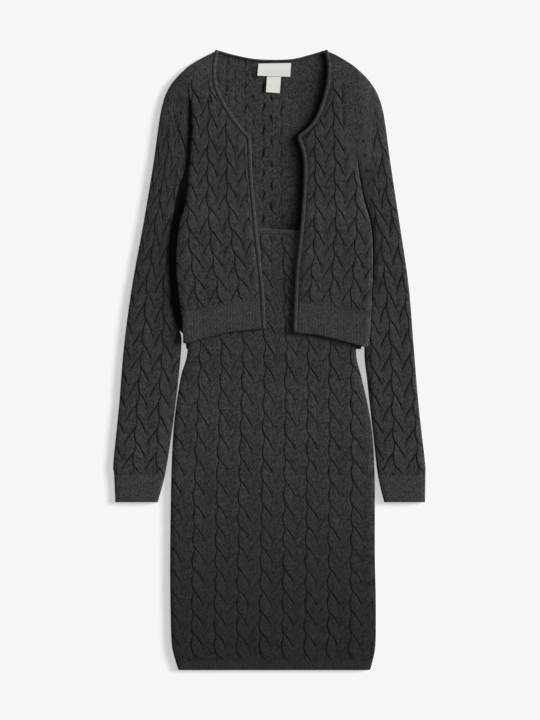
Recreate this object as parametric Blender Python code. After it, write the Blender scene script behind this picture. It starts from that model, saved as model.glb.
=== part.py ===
"""Two-piece cable-knit sweater dress, laid flat: a strap dress under a cropped open bolero.

+X is to the right and +Y towards the neck, seen from above. The outfit lies on Z = 0. Sizes
are in millimetres and become metres where a mesh is made.
"""

import math
from collections import namedtuple

import bmesh
import bpy

MM = 0.001
WELD = 0.00001  # metres

# ---- walls and the stack of layers ----
SEAM = 0.3  # gap between two pieces where they are sewn or lie on each other
UNDER = 3.0  # knit wall of a layer that lies under another
WALL = 2.6  # knit wall in the grooves between the cables
CABLE = 2.8  # how far a cable stands out of its wall
RIB = 4.6  # hem band or cuff, knitted double
LABEL = 0.5  # woven label
STRAP = 1.5  # one layer of the strap
FLOOR = 0.0
ON_ONE = UNDER + SEAM  # lies on one plain layer
ON_TWO = 2 * ON_ONE  # lies on two plain layers
UNDER_YOKE = ON_TWO + SEAM  # bolero front over the strap
OVER_DRESS = ON_TWO + WALL + CABLE + SEAM  # bolero front over the dress front

# ---- cable knit ----
COLUMN_STEPS = 4  # grid columns in one cable
REPEAT_STEPS = 4  # grid rows in one repeat
CHEVRON = 0.63  # how far a lobe runs down from the groove to the middle, in repeats
LOBE = (0.12, 0.75, 1.0, 0.88)  # height along one lobe, from under the last lobe to its own edge
MIDDLE = 0.86  # height where the lobes meet
EDGE_ROLL = 11.0  # width over which the cables sink towards a side

# ---- edges ----
BINDING = 6.8  # width of the round binding on the bolero's opening
NECK_BINDING = 4.2  # width of the same binding round the back of the neck
CORNER = 3.6  # radius of the binding's run at the corner of a front
CORNER_STEPS = 4
BINDING_RESOLUTION = 2
TRIM = 8.5  # height of the rolled trim on the dress neckline
SPLINE_STEPS = 3  # straight pieces between two points of a smooth edge
CUT_LOW, CUT_HIGH = -5.0, 30.0  # a cutter passes through every layer
PAST_EDGE = 30.0  # an open-ended hollow is cut past its end by this

Point = namedtuple("Point", "x y")
Side = namedtuple("Side", "y left right")
Column = namedtuple("Column", "y middle pitch")
Repeat = namedtuple("Repeat", "count y")
Level = namedtuple("Level", "count height")
Cloth = namedtuple("Cloth", "columns repeats levels wall first last top bottom")
Sheet = namedtuple("Sheet", "colour roughness")

KNIT_BODY = Sheet((0.032, 0.032, 0.034, 1.0), 0.92)
KNIT_RIB = Sheet((0.038, 0.038, 0.040, 1.0), 0.92)
LABEL_CLOTH = Sheet((0.75, 0.73, 0.69, 1.0), 0.7)

# ---- dress ----
DRESS_SIDES = (
    Side(216.0, -132.0, 146.5),
    Side(111.5, -129.0, 141.5),
    Side(15.5, -131.0, 138.5),
    Side(-24.5, -141.5, 146.5),
    Side(-72.5, -149.5, 157.5),
    Side(-120.5, -154.5, 165.0),
    Side(-192.5, -157.5, 168.6),
    Side(-310.0, -159.2, 168.9),
    Side(-384.5, -158.9, 170.4),
    Side(-448.5, -157.2, 170.2),
    Side(-472.5, -153.3, 167.6),
    Side(-497.0, -146.0, 161.5),
)
DRESS_COLUMNS = (
    Column(201.0, 3.0, 35.5),
    Column(15.5, 9.5, 34.5),
    Column(-199.0, 5.5, 36.0),
    Column(-448.5, 2.0, 36.3),
    Column(-497.0, 1.0, 34.8),
)
DRESS_REPEATS = (Repeat(0.0, 211.9), Repeat(12.0, -233.3), Repeat(20.0, -506.9))
DRESS_DROP = (5.5, 6.5)  # repeats between which the dress comes down off the bolero back
NECK_LEFT, NECK_RIGHT = Point(-132.0, 216.0), Point(146.5, 202.0)
BACK_NECK_DROP = 8.0  # the back neckline lies this much lower than the front one
DRESS_HEM_TOP = -482.0
DRESS_HEM = -497.0
STRAP_WIDTH = 12.0
STRAP_X = (-107.0, 114.0)
STRAP_TOP = 451.0
STRAP_BEND = 30.0  # length over which the strap's front leg rises to the dress front

# ---- bolero ----
NECK_EDGE_LEFT = (
    Point(-84.0, 495.5),
    Point(-85.5, 468.0),
    Point(-81.0, 431.0),
    Point(-57.5, 389.0),
    Point(-29.6, 355.5),
)
FRONT_EDGE_LEFT = (
    NECK_EDGE_LEFT[-1],
    Point(-27.0, 291.0),
    Point(-18.5, 199.5),
    Point(-9.0, 111.5),
    Point(-6.3, 50.0),
)
NECK_EDGE_RIGHT = (
    Point(90.5, 495.5),
    Point(93.0, 468.0),
    Point(87.0, 426.0),
    Point(69.5, 382.0),
    Point(43.0, 357.0),
)
FRONT_EDGE_RIGHT = (
    NECK_EDGE_RIGHT[-1],
    Point(54.0, 315.5),
    Point(50.5, 230.0),
    Point(41.5, 140.5),
    Point(37.0, 43.0),
)
BACK_NECK = (
    Point(-82.5, 495.0),
    Point(-57.5, 487.0),
    Point(-18.5, 479.5),
    Point(33.0, 479.5),
    Point(65.0, 487.0),
    Point(89.0, 495.0),
)
SHOULDER_LEFT = (Point(-95.0, 489.0), Point(-114.5, 479.5), Point(-129.0, 470.0))
SHOULDER_RIGHT = (Point(105.0, 489.0), Point(121.0, 479.5), Point(135.0, 470.0))
ARMHOLE_LEFT = (
    Point(-129.0, 470.0),
    Point(-129.6, 428.0),
    Point(-125.5, 404.0),
    Point(-125.0, 365.0),
    Point(-128.5, 307.0),
)
ARMHOLE_RIGHT = (
    Point(135.0, 470.0),
    Point(142.0, 436.0),
    Point(140.5, 400.0),
    Point(139.2, 365.0),
    Point(141.5, 307.0),
)
SIDE_LEFT = (
    Point(-128.5, 307.0),
    Point(-134.5, 252.0),
    Point(-144.0, 214.0),
    Point(-149.0, 160.0),
    Point(-145.8, 110.0),
    Point(-141.0, 75.0),
    Point(-138.5, 45.0),
    Point(-138.0, 25.0),
)
SIDE_RIGHT = (
    Point(141.5, 307.0),
    Point(151.0, 255.5),
    Point(162.0, 214.0),
    Point(165.0, 160.0),
    Point(163.0, 92.5),
    Point(161.8, 68.5),
    Point(160.5, 42.0),
    Point(156.5, 19.0),
)
BAND_TOP_LEFT = (Point(-141.0, 75.0), Point(-69.5, 86.5), Point(-15.0, 99.5))
BAND_HEM_LEFT = (Point(-138.0, 25.0), Point(-67.5, 43.0), Point(-13.0, 49.5))
BAND_TOP_RIGHT = (Point(161.8, 68.5), Point(82.0, 86.0), Point(46.5, 92.0))
BAND_HEM_RIGHT = (Point(156.5, 19.0), Point(84.5, 37.5), Point(44.0, 42.5))
BACK_BAND_TOP = 66.0
BACK_BAND_HEM = 17.0
BACK_CORNER_LEFT = (Point(-137.0, 40.0), Point(-133.0, BACK_BAND_HEM))  # the back leaves the sleeve
BACK_CORNER_RIGHT = (Point(148.0, 21.0), Point(146.0, BACK_BAND_HEM))
FRONT_LEFT_COLUMNS = (
    Column(419.0, -82.5, 28.0),
    Column(316.5, -84.5, 30.1),
    Column(251.0, -83.5, 32.3),
    Column(166.0, -74.5, 34.7),
    Column(95.5, -63.5, 34.7),
)
FRONT_RIGHT_COLUMNS = (
    Column(431.5, 87.0, 28.8),
    Column(316.5, 88.0, 31.8),
    Column(214.0, 89.0, 33.3),
    Column(92.5, 80.0, 32.8),
)
FRONT_REPEATS = (Repeat(0.0, 504.7), Repeat(12.0, 56.4))
FRONT_LEVELS = (
    Level(0.75, ON_ONE),
    Level(1.25, UNDER_YOKE),
    Level(6.75, UNDER_YOKE),
    Level(7.75, OVER_DRESS),
)

# ---- sleeves ----
SLEEVE_LEFT_OUTER = (
    Point(-129.5, 470.0),
    Point(-157.5, 441.0),
    Point(-173.0, 403.0),
    Point(-186.5, 311.5),
    Point(-202.5, 215.5),
    Point(-220.0, 119.5),
    Point(-233.0, 23.5),
    Point(-241.0, -72.5),
    Point(-250.0, -163.5),
    Point(-249.0, -184.5),
    Point(-247.0, -228.0),
)
SLEEVE_LEFT_INNER = (
    Point(-128.5, 404.0),
    Point(-129.5, 365.0),
    Point(-134.0, 307.0),
    Point(-146.0, 274.0),
    Point(-155.5, 225.0),
    Point(-161.0, 175.0),
    Point(-158.5, 115.0),
    Point(-153.5, 72.0),
    Point(-143.0, 44.0),
    Point(-141.0, 24.0),
    Point(-146.7, -39.0),
    Point(-157.3, -122.0),
    Point(-167.4, -184.5),
    Point(-178.9, -228.0),
)
SLEEVE_RIGHT_OUTER = (
    Point(135.5, 470.0),
    Point(162.5, 443.0),
    Point(181.0, 403.0),
    Point(194.5, 311.5),
    Point(209.0, 215.5),
    Point(223.0, 119.5),
    Point(231.0, 23.5),
    Point(239.0, -72.5),
    Point(249.3, -163.5),
    Point(250.0, -184.5),
    Point(249.5, -228.0),
)
SLEEVE_RIGHT_INNER = (
    Point(142.0, 307.0),
    Point(151.5, 265.0),
    Point(163.5, 210.0),
    Point(165.5, 160.0),
    Point(162.0, 95.5),
    Point(152.0, 20.0),
    Point(157.0, -39.0),
    Point(166.2, -122.0),
    Point(173.5, -184.5),
    Point(183.6, -228.0),
)
CUFF_TOP = -184.5
CUFF_END = -228.0
SLEEVE_LEFT_COLUMNS = (
    Column(395.0, -150.0, 19.2),
    Column(334.0, -154.0, 18.4),
    Column(249.0, -165.4, 24.0),
    Column(112.0, -184.3, 27.5),
    Column(62.0, -185.0, 31.5),
    Column(-20.0, -191.0, 33.6),
    Column(-172.0, -200.6, 36.8),
)
SLEEVE_RIGHT_COLUMNS = (
    Column(395.0, 158.0, 24.0),
    Column(249.0, 177.6, 27.2),
    Column(198.0, 191.5, 27.2),
    Column(112.0, 201.1, 30.4),
    Column(28.0, 208.8, 31.4),
    Column(-172.0, 218.2, 37.3),
)
SLEEVE_REPEATS = (Repeat(-3.0, 481.2), Repeat(6.0, 63.6), Repeat(12.0, -171.6))
SLEEVE_HEAD = (380.0, 290.0)  # plain above the first, full cables below the second

# ---- labels, on the inside of the bolero back ----
LABEL_AT, LABEL_SIZE = Point(7.5, 463.0), Point(53.5, 22.0)
SIZE_LABEL_AT, SIZE_LABEL_SIZE = Point(6.0, 439.3), Point(23.5, 24.6)


def between(value, rows, key, field):
    """The field of a table at a value of its key column, on straight lines between rows."""
    rows = sorted(rows, key=lambda row: getattr(row, key))
    low, high = rows[0], rows[-1]
    for row in rows:
        if getattr(row, key) <= value:
            low = row
    for row in reversed(rows):
        if getattr(row, key) >= value:
            high = row
    span = getattr(high, key) - getattr(low, key)
    share = (value - getattr(low, key)) / span if span > 0 else 0.0
    return getattr(low, field) + share * (getattr(high, field) - getattr(low, field))


def along(count, repeats):
    """The y of a repeat count, also past either end of the table."""
    first, last = repeats[0], repeats[-1]
    if count < first.count or count > last.count:
        near, far = (first, repeats[1]) if count < first.count else (last, repeats[-2])
        return near.y + (count - near.count) * (far.y - near.y) / (far.count - near.count)
    return between(count, repeats, "count", "y")


def smooth(points):
    """The points of an edge with rounded stretches between them (Catmull-Rom)."""
    ends = [points[0], *points, points[-1]]
    found = [points[0]]
    for a, b, c, d in zip(ends, ends[1:], ends[2:], ends[3:]):
        for step in range(1, SPLINE_STEPS + 1):
            t = step / SPLINE_STEPS
            weights = (
                (-t + 2 * t**2 - t**3) / 2,
                (2 - 5 * t**2 + 3 * t**3) / 2,
                (t + 4 * t**2 - 3 * t**3) / 2,
                (t**3 - t**2) / 2,
            )
            x = sum(w * p.x for w, p in zip(weights, (a, b, c, d)))
            y = sum(w * p.y for w, p in zip(weights, (a, b, c, d)))
            found.append(Point(x, y))
    return found


def opening(neck, front):
    """The bolero's edge on one side: neck curve, a corner, then the front edge."""
    return smooth(neck) + smooth(front)[1:]


def rounded(path, corner):
    """A path whose one sharp corner is an arc."""
    place = min(range(len(path)), key=lambda i: math.hypot(path[i].x - corner.x, path[i].y - corner.y))
    before, here, after = path[place - 1 : place + 2]
    to_before = math.atan2(before.y - here.y, before.x - here.x)
    to_after = math.atan2(after.y - here.y, after.x - here.x)
    turn = (to_after - to_before + math.pi) % math.tau - math.pi
    middle = to_before + turn / 2
    reach = CORNER / abs(math.sin(turn / 2))
    centre = Point(here.x + reach * math.cos(middle), here.y + reach * math.sin(middle))
    sweep = math.copysign(math.pi - abs(turn), turn)
    arc = []
    for step in range(CORNER_STEPS + 1):
        angle = middle + math.pi + sweep * (0.5 - step / CORNER_STEPS)
        arc.append(Point(centre.x + CORNER * math.cos(angle), centre.y + CORNER * math.sin(angle)))
    return [*path[:place], *arc, *path[place + 1 :]]


def beside(path, distance):
    """A path moved sideways, to the left of its own direction when distance is above 0."""
    normals = []
    for a, b in zip(path, path[1:]):
        length = math.hypot(b.x - a.x, b.y - a.y)
        normals.append(Point((a.y - b.y) / length, (b.x - a.x) / length))
    found = []
    for point, one, two in zip(path, [normals[0], *normals], [*normals, normals[-1]]):
        reach = distance / (1 + one.x * two.x + one.y * two.y)
        found.append(Point(point.x + reach * (one.x + two.x), point.y + reach * (one.y + two.y)))
    return found


def clipped(path, high, low):
    """The stretch of a downward path between two heights, ending exactly on both."""
    found = []
    for a, b in zip(path, path[1:]):
        for level in (high, low):
            if a.y > level > b.y:
                share = (a.y - level) / (a.y - b.y)
                found.append(Point(a.x + share * (b.x - a.x), level))
    found += [p for p in path if low <= p.y <= high]
    return sorted(set(found), key=lambda p: -p.y)


def moved(path, x=0.0, y=0.0):
    """A path moved by x and y."""
    return [Point(p.x + x, p.y + y) for p in path]


def distance_to(x, y, path):
    """How far a point is from a path."""
    nearest = math.inf
    for a, b in zip(path, path[1:]):
        dx, dy = b.x - a.x, b.y - a.y
        share = max(0.0, min(1.0, ((x - a.x) * dx + (y - a.y) * dy) / (dx * dx + dy * dy)))
        nearest = min(nearest, math.hypot(x - a.x - share * dx, y - a.y - share * dy))
    return nearest


def level_at(count, levels):
    """Height of a panel's plain side at a repeat count."""
    return between(min(max(count, levels[0].count), levels[-1].count), levels, "count", "height")


def cable_height(column_step, row_step):
    """Height of a cable over its grooves at one point of the chevron grid."""
    place = column_step % COLUMN_STEPS
    if place == 0:
        return 0.0
    if 2 * place == COLUMN_STEPS:
        return MIDDLE
    lag = 0 if 2 * place < COLUMN_STEPS else REPEAT_STEPS // 2
    return LOBE[(row_step + lag) % REPEAT_STEPS]


def new_object(name, mesh, collection, sheet=None):
    """An object of a mesh in a collection, with its own material."""
    piece = bpy.data.objects.new(name, mesh)
    collection.objects.link(piece)
    if sheet:
        material = bpy.data.materials.new(name)
        material.use_nodes = True
        shader = material.node_tree.nodes["Principled BSDF"]
        shader.inputs["Base Color"].default_value = sheet.colour
        shader.inputs["Roughness"].default_value = sheet.roughness
        shader.inputs["Metallic"].default_value = 0.0
        mesh.materials.append(material)
    return piece


def mesh_from(bm, name):
    """A mesh of a bmesh, with its faces outward."""
    bmesh.ops.recalc_face_normals(bm, faces=bm.faces)
    mesh = bpy.data.meshes.new(name)
    bm.to_mesh(mesh)
    bm.free()
    return mesh


def outline_mesh(name, points, low, high):
    """A flat outline as a filled curve between two heights, made a closed mesh."""
    curve = bpy.data.curves.new(name, "CURVE")
    curve.dimensions = "2D"
    curve.fill_mode = "BOTH"
    curve.extrude = (high - low) / 2 * MM
    spline = curve.splines.new("POLY")
    spline.points.add(len(points) - 1)
    for place, point in zip(spline.points, points):
        place.co = (point.x * MM, point.y * MM, 0.0, 1.0)
    spline.use_cyclic_u = True
    holder = bpy.data.objects.new(name, curve)
    bpy.context.scene.collection.objects.link(holder)
    graph = bpy.context.evaluated_depsgraph_get()
    mesh = bpy.data.meshes.new_from_object(holder.evaluated_get(graph))
    bpy.data.objects.remove(holder)
    bm = bmesh.new()
    bm.from_mesh(mesh)
    bpy.data.meshes.remove(mesh)
    bmesh.ops.remove_doubles(bm, verts=bm.verts, dist=WELD)
    bmesh.ops.translate(bm, verts=bm.verts, vec=(0.0, 0.0, (high + low) / 2 * MM))
    return mesh_from(bm, name)


def cable_slab(name, cloth, rise):
    """Closed slab of cable knit, larger than its panel: plain below, cables raised above.

    The grid's rows run down from each groove to the middle of the cable, so they follow the
    lobes. rise(x, y) is the share of the cables' full height at a point.
    """
    wide = (cloth.last - cloth.first) * COLUMN_STEPS
    tall = (cloth.bottom - cloth.top) * REPEAT_STEPS
    bm = bmesh.new()
    bmesh.ops.create_grid(bm, x_segments=wide, y_segments=tall, size=1.0)
    grid = {vert: (round((vert.co.x + 1) * wide / 2), round((vert.co.y + 1) * tall / 2)) for vert in bm.verts}
    corners = {tuple(vert.co): steps for vert, steps in grid.items()}
    raised = bmesh.ops.extrude_face_region(bm, geom=bm.faces[:], use_keep_orig=True)["geom"]
    upper = {vert: corners[tuple(vert.co)] for vert in raised if isinstance(vert, bmesh.types.BMVert)}
    for vert, (i, j) in [*grid.items(), *upper.items()]:
        across = i / COLUMN_STEPS + cloth.first
        from_middle = abs(across - math.floor(across) - 0.5)
        slope = CHEVRON * (1 - 2 * from_middle) if vert in upper else 0.0
        count = cloth.top + j / REPEAT_STEPS + slope
        y = along(count, cloth.repeats)
        row = max(min(y, cloth.columns[0].y), cloth.columns[-1].y)
        middle = between(row, cloth.columns, "y", "middle")
        x = middle + (across - 0.5) * between(row, cloth.columns, "y", "pitch")
        z = level_at(count, cloth.levels)
        if vert in upper:
            z += cloth.wall + CABLE * cable_height(i, j) * rise(x, y)
        vert.co = (x * MM, y * MM, z * MM)
    return mesh_from(bm, name)


def cut(piece, cutter_name, points, cutters, operation, low=CUT_LOW, high=CUT_HIGH):
    """Keeps (INTERSECT) or takes away (DIFFERENCE) what lies in an upright outline."""
    cutter = new_object(cutter_name, outline_mesh(cutter_name, points, low, high), cutters)
    cutter.hide_render = True
    cutter.display_type = "WIRE"
    modifier = piece.modifiers.new(cutter_name, "BOOLEAN")
    modifier.operation = operation
    modifier.solver = "EXACT"
    modifier.object = cutter


def neckline(drop=0.0):
    """The dress neckline as two points, moved down by drop."""
    return [Point(NECK_LEFT.x, NECK_LEFT.y - drop), Point(NECK_RIGHT.x, NECK_RIGHT.y - drop)]


def dress_edges():
    """The dress's left and right side edges, from the neckline down."""
    left = smooth([Point(row.left, row.y) for row in DRESS_SIDES])
    right = smooth([Point(row.right, row.y) for row in DRESS_SIDES])
    return left, right


def dress_outline(drop, hem):
    """Outline of a dress panel from its neckline, moved down by drop, to a height."""
    left, right = dress_edges()
    left = clipped(left, NECK_LEFT.y - drop, hem)
    right = clipped(right, NECK_RIGHT.y - drop, hem)
    return left + right[::-1]


def build_dress_front(parts, cutters):
    """Cable-knit front panel of the dress."""
    start, end = DRESS_DROP
    levels = (Level(start, ON_TWO), Level(end, ON_ONE))
    cloth = Cloth(DRESS_COLUMNS, DRESS_REPEATS, levels, WALL, -5, 6, -1, 20)
    left, right = dress_edges()

    def rise(x, y):
        near = min(distance_to(x, y, left), distance_to(x, y, right))
        inside = between(y, DRESS_SIDES, "y", "left") < x < between(y, DRESS_SIDES, "y", "right")
        return min(near / EDGE_ROLL, 1.0) if inside or not DRESS_HEM < y < NECK_LEFT.y else 0.0

    panel = new_object("dress_front", cable_slab("dress_front", cloth, rise), parts, KNIT_BODY)
    outline = dress_outline(TRIM + SEAM, DRESS_HEM_TOP + SEAM)
    cut(panel, "cut_dress_front", outline, cutters, "INTERSECT")


def across_slab(name, profile, low, high):
    """A solid of a closed side profile of (y, z) points, from one x to another."""
    bm = bmesh.new()
    ring = [bm.verts.new((low * MM, point.x * MM, point.y * MM)) for point in profile]
    edges = [bm.edges.new(pair) for pair in zip(ring, ring[1:] + ring[:1])]
    face = bmesh.ops.contextual_create(bm, geom=edges)["faces"]
    raised = bmesh.ops.extrude_face_region(bm, geom=face, use_keep_orig=True)["geom"]
    verts = [vert for vert in raised if isinstance(vert, bmesh.types.BMVert)]
    bmesh.ops.translate(bm, verts=verts, vec=((high - low) * MM, 0.0, 0.0))
    return mesh_from(bm, name)


def build_dress_back(parts, cutters):
    """Plain back panel of the dress, under its front."""
    start, end = (along(count, DRESS_REPEATS) for count in DRESS_DROP)
    profile = (
        Point(NECK_LEFT.y, ON_ONE),
        Point(start, ON_ONE),
        Point(end, FLOOR),
        Point(DRESS_HEM, FLOOR),
    )
    profile += tuple(Point(point.x, point.y + UNDER) for point in reversed(profile))
    low, high = min(row.left for row in DRESS_SIDES), max(row.right for row in DRESS_SIDES)
    mesh = across_slab("dress_back", profile, low - PAST_EDGE, high + PAST_EDGE)
    panel = new_object("dress_back", mesh, parts, KNIT_BODY)
    outline = dress_outline(TRIM + SEAM + BACK_NECK_DROP, DRESS_HEM_TOP + SEAM)
    cut(panel, "cut_dress_back", outline, cutters, "INTERSECT")


def build_dress_edges(parts):
    """Rolled trims on the neckline and ribbed bands at the hem, front and back."""
    left, right = dress_edges()
    for name, drop, base, wall in (
        ("dress_neck_trim_front", 0.0, ON_TWO, RIB),
        ("dress_neck_trim_back", BACK_NECK_DROP, ON_ONE, UNDER),
    ):
        top, foot = neckline(drop), neckline(drop + TRIM)
        corners = [top[0], foot[0], foot[1], top[1]]
        new_object(name, outline_mesh(name, corners, base, base + wall), parts, KNIT_RIB)
    for name, base, wall in (
        ("dress_hem_front", ON_ONE, RIB),
        ("dress_hem_back", FLOOR, UNDER),
    ):
        band = clipped(left, DRESS_HEM_TOP, DRESS_HEM) + clipped(right, DRESS_HEM_TOP, DRESS_HEM)[::-1]
        new_object(name, outline_mesh(name, band, base, base + wall), parts, KNIT_RIB)


def build_strap(name, x, parts):
    """One strap: a flat loop from the back neckline over the shoulder to the front neckline."""
    slope = (NECK_RIGHT.y - NECK_LEFT.y) / (NECK_RIGHT.x - NECK_LEFT.x)
    front = NECK_LEFT.y + slope * (x - NECK_LEFT.x) + STRAP_WIDTH * abs(slope)
    back = front - BACK_NECK_DROP
    over = ON_TWO - SEAM  # upper side of the front leg, under the bolero
    outer = (
        Point(back, ON_ONE),
        Point(STRAP_TOP - STRAP, ON_ONE),
        Point(STRAP_TOP, ON_ONE + STRAP),
        Point(STRAP_TOP, over - STRAP),
        Point(STRAP_TOP - STRAP, over),
        Point(front + STRAP_BEND, over),
        Point(front, ON_TWO + STRAP),
    )
    inner = (
        Point(front, ON_TWO),
        Point(front + STRAP_BEND, over - STRAP),
        Point(STRAP_TOP - STRAP, over - STRAP),
        Point(STRAP_TOP - STRAP, ON_ONE + STRAP),
        Point(back, ON_ONE + STRAP),
    )
    mesh = across_slab(name, [*outer, *inner], x - STRAP_WIDTH / 2, x + STRAP_WIDTH / 2)
    new_object(name, mesh, parts, KNIT_RIB)


def build_front(name, cloth, side, edge, bands, parts, cutters):
    """One cable-knit front of the bolero with its hem band; bands are its top and hem edges."""
    band_top, band_hem = bands
    left = edge[0].x < 0
    inner = beside(edge, math.copysign(BINDING + SEAM, edge[0].x))
    top_y = band_top[-1].y
    inner_panel = clipped(inner, inner[0].y - SEAM, top_y + SEAM)
    inner_band = clipped(inner, top_y - SEAM, band_hem[-1].y)

    def rise(x, y):
        outside = x < between(y, side, "y", "x") if left else x > between(y, side, "y", "x")
        return 0.0 if outside else min(distance_to(x, y, side) / EDGE_ROLL, 1.0)

    panel = new_object(name, cable_slab(name, cloth, rise), parts, KNIT_BODY)
    joint = moved(smooth(band_top), y=SEAM)[1:-1]
    outline = clipped(side, side[0].y, band_top[0].y + SEAM) + joint + inner_panel[::-1]
    cut(panel, f"cut_{name}", outline, cutters, "INTERSECT")
    band_name = name.replace("front", "band")
    band_side = clipped(side, band_top[0].y, band_hem[0].y)
    band = band_side + smooth(band_hem)[1:-1] + inner_band[::-1] + smooth(band_top)[1:-1][::-1]
    new_object(band_name, outline_mesh(band_name, band, OVER_DRESS, OVER_DRESS + RIB), parts, KNIT_RIB)


def build_fronts(parts, cutters):
    """Both fronts of the bolero."""
    sides = (
        [*SHOULDER_LEFT, *ARMHOLE_LEFT[1:], *smooth(SIDE_LEFT)[1:]],
        [*SHOULDER_RIGHT, *ARMHOLE_RIGHT[1:], *smooth(SIDE_RIGHT)[1:]],
    )
    left = Cloth(FRONT_LEFT_COLUMNS, FRONT_REPEATS, FRONT_LEVELS, WALL, -3, 4, -1, 13)
    right = Cloth(FRONT_RIGHT_COLUMNS, FRONT_REPEATS, FRONT_LEVELS, WALL, -3, 4, -1, 13)
    edges = opening(NECK_EDGE_LEFT, FRONT_EDGE_LEFT), opening(NECK_EDGE_RIGHT, FRONT_EDGE_RIGHT)
    bands = (BAND_TOP_LEFT, BAND_HEM_LEFT), (BAND_TOP_RIGHT, BAND_HEM_RIGHT)
    build_front("bolero_front_left", left, sides[0], edges[0], bands[0], parts, cutters)
    build_front("bolero_front_right", right, sides[1], edges[1], bands[1], parts, cutters)


def build_bolero_back(parts):
    """Back panel of the bolero with its hem band, flat on the floor under everything."""
    neck = beside(smooth(BACK_NECK), -NECK_BINDING - SEAM)
    sides = []
    for shoulder, armhole, sleeve, corner in (
        (SHOULDER_LEFT, ARMHOLE_LEFT, SLEEVE_LEFT_INNER, BACK_CORNER_LEFT),
        (SHOULDER_RIGHT, ARMHOLE_RIGHT, SLEEVE_RIGHT_INNER, BACK_CORNER_RIGHT),
    ):
        gap = math.copysign(SEAM, -corner[0].x)
        seam = moved(smooth(sleeve), x=gap)
        upper = [point for point in (*shoulder, *armhole[1:]) if point.y > seam[0].y]
        sides.append([*upper, *clipped(seam, seam[0].y, corner[0].y + 5.0), *corner])
    left, right = (clipped(side, side[0].y, BACK_BAND_TOP + SEAM) for side in sides)
    panel = [*neck, *right, *left[::-1]]
    name = "bolero_back"
    new_object(name, outline_mesh(name, panel, FLOOR, FLOOR + UNDER), parts, KNIT_BODY)
    left, right = (clipped(side, BACK_BAND_TOP, BACK_BAND_HEM) for side in sides)
    name = "bolero_band_back"
    new_object(name, outline_mesh(name, right + left[::-1], FLOOR, FLOOR + UNDER), parts, KNIT_RIB)


def build_binding(name, path, width, heights, parts):
    """Round binding knitted round an edge: a tube along the edge's inner side."""
    curve = bpy.data.curves.new(name, "CURVE")
    curve.dimensions = "3D"
    curve.bevel_depth = width / 2 * MM
    curve.bevel_resolution = BINDING_RESOLUTION
    curve.use_fill_caps = True
    spline = curve.splines.new("POLY")
    spline.points.add(len(path) - 1)
    for place, point, height in zip(spline.points, path, heights):
        place.co = (point.x * MM, point.y * MM, (height + width / 2) * MM, 1.0)
    new_object(name, curve, parts, KNIT_RIB)


def front_height(y):
    """Height of the plain side of the bolero's fronts."""
    first, last = FRONT_REPEATS
    count = first.count + (y - first.y) / (last.y - first.y) * (last.count - first.count)
    return level_at(count, FRONT_LEVELS)


def build_bindings(parts):
    """The binding in three lengths: up each front and round the back of the neck."""
    for name, neck, front in (
        ("binding_left", NECK_EDGE_LEFT, FRONT_EDGE_LEFT),
        ("binding_right", NECK_EDGE_RIGHT, FRONT_EDGE_RIGHT),
    ):
        sharp = beside(opening(neck, front), math.copysign(BINDING / 2, neck[0].x))
        path = rounded(sharp, neck[-1])
        build_binding(name, path, BINDING, [front_height(point.y) for point in path], parts)
    path = beside(smooth(BACK_NECK), -NECK_BINDING / 2)
    build_binding("binding_neck", path, NECK_BINDING, [FLOOR] * len(path), parts)


def hollow(outer, near, top, bottom):
    """Outline of a flattened tube's hollow, past its open ends and inside its two edges."""
    out = math.copysign(WALL, outer[-1].x)
    wall = clipped(moved(outer, x=-out), top, bottom)
    edge = clipped(moved(near, x=out), top, bottom)
    down = Point(0.0, -PAST_EDGE)
    ends = [Point(wall[-1].x, bottom + down.y), Point(edge[-1].x, bottom + down.y)]
    return wall + ends + edge[::-1]


def build_sleeve(name, outer, inner, armhole, columns, parts, cutters):
    """One sleeve and its cuff, each a flattened tube open at both ends."""
    outer, inner = smooth(outer), smooth(inner)
    out = math.copysign(1.0, outer[-1].x)
    gap = moved(armhole, x=out * SEAM)
    near = [*(point for point in gap if point.y > inner[0].y), *inner]

    def rise(x, y):
        head = (SLEEVE_HEAD[0] - y) / (SLEEVE_HEAD[0] - SLEEVE_HEAD[1])
        rim = min(distance_to(x, y, outer), distance_to(x, y, inner)) / EDGE_ROLL
        beyond = out * (x - between(y, outer, "y", "x")) > 0 or out * (x - between(y, near, "y", "x")) < 0
        return 0.0 if beyond else max(0.0, min(head, rim, 1.0))

    levels = (Level(0.0, FLOOR), Level(1.0, FLOOR))
    cloth = Cloth(columns, SLEEVE_REPEATS, levels, ON_ONE + WALL, -3, 4, -4, 14)
    sleeve = new_object(name, cable_slab(name, cloth, rise), parts, KNIT_BODY)
    wall = clipped(outer, outer[0].y, CUFF_TOP + SEAM)
    seam = clipped(near, near[0].y, CUFF_TOP + SEAM)
    cut(sleeve, f"cut_{name}", wall + seam[1:][::-1], cutters, "INTERSECT")
    open_side = [Point(p.x - out * PAST_EDGE, p.y) if p.y > inner[0].y else p for p in near]
    tube = hollow(outer, open_side, SLEEVE_HEAD[0], CUFF_TOP)
    cut(sleeve, f"hollow_{name}", tube, cutters, "DIFFERENCE", UNDER, UNDER + SEAM)

    cuff_name = name.replace("sleeve", "cuff")
    wall, seam = clipped(outer, CUFF_TOP, CUFF_END), clipped(inner, CUFF_TOP, CUFF_END)
    mesh = outline_mesh(cuff_name, wall + seam[::-1], FLOOR, ON_ONE + RIB)
    cuff = new_object(cuff_name, mesh, parts, KNIT_RIB)
    tube = hollow(outer, inner, CUFF_TOP + PAST_EDGE, CUFF_END)
    cut(cuff, f"hollow_{cuff_name}", tube, cutters, "DIFFERENCE", UNDER, UNDER + SEAM)


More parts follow.
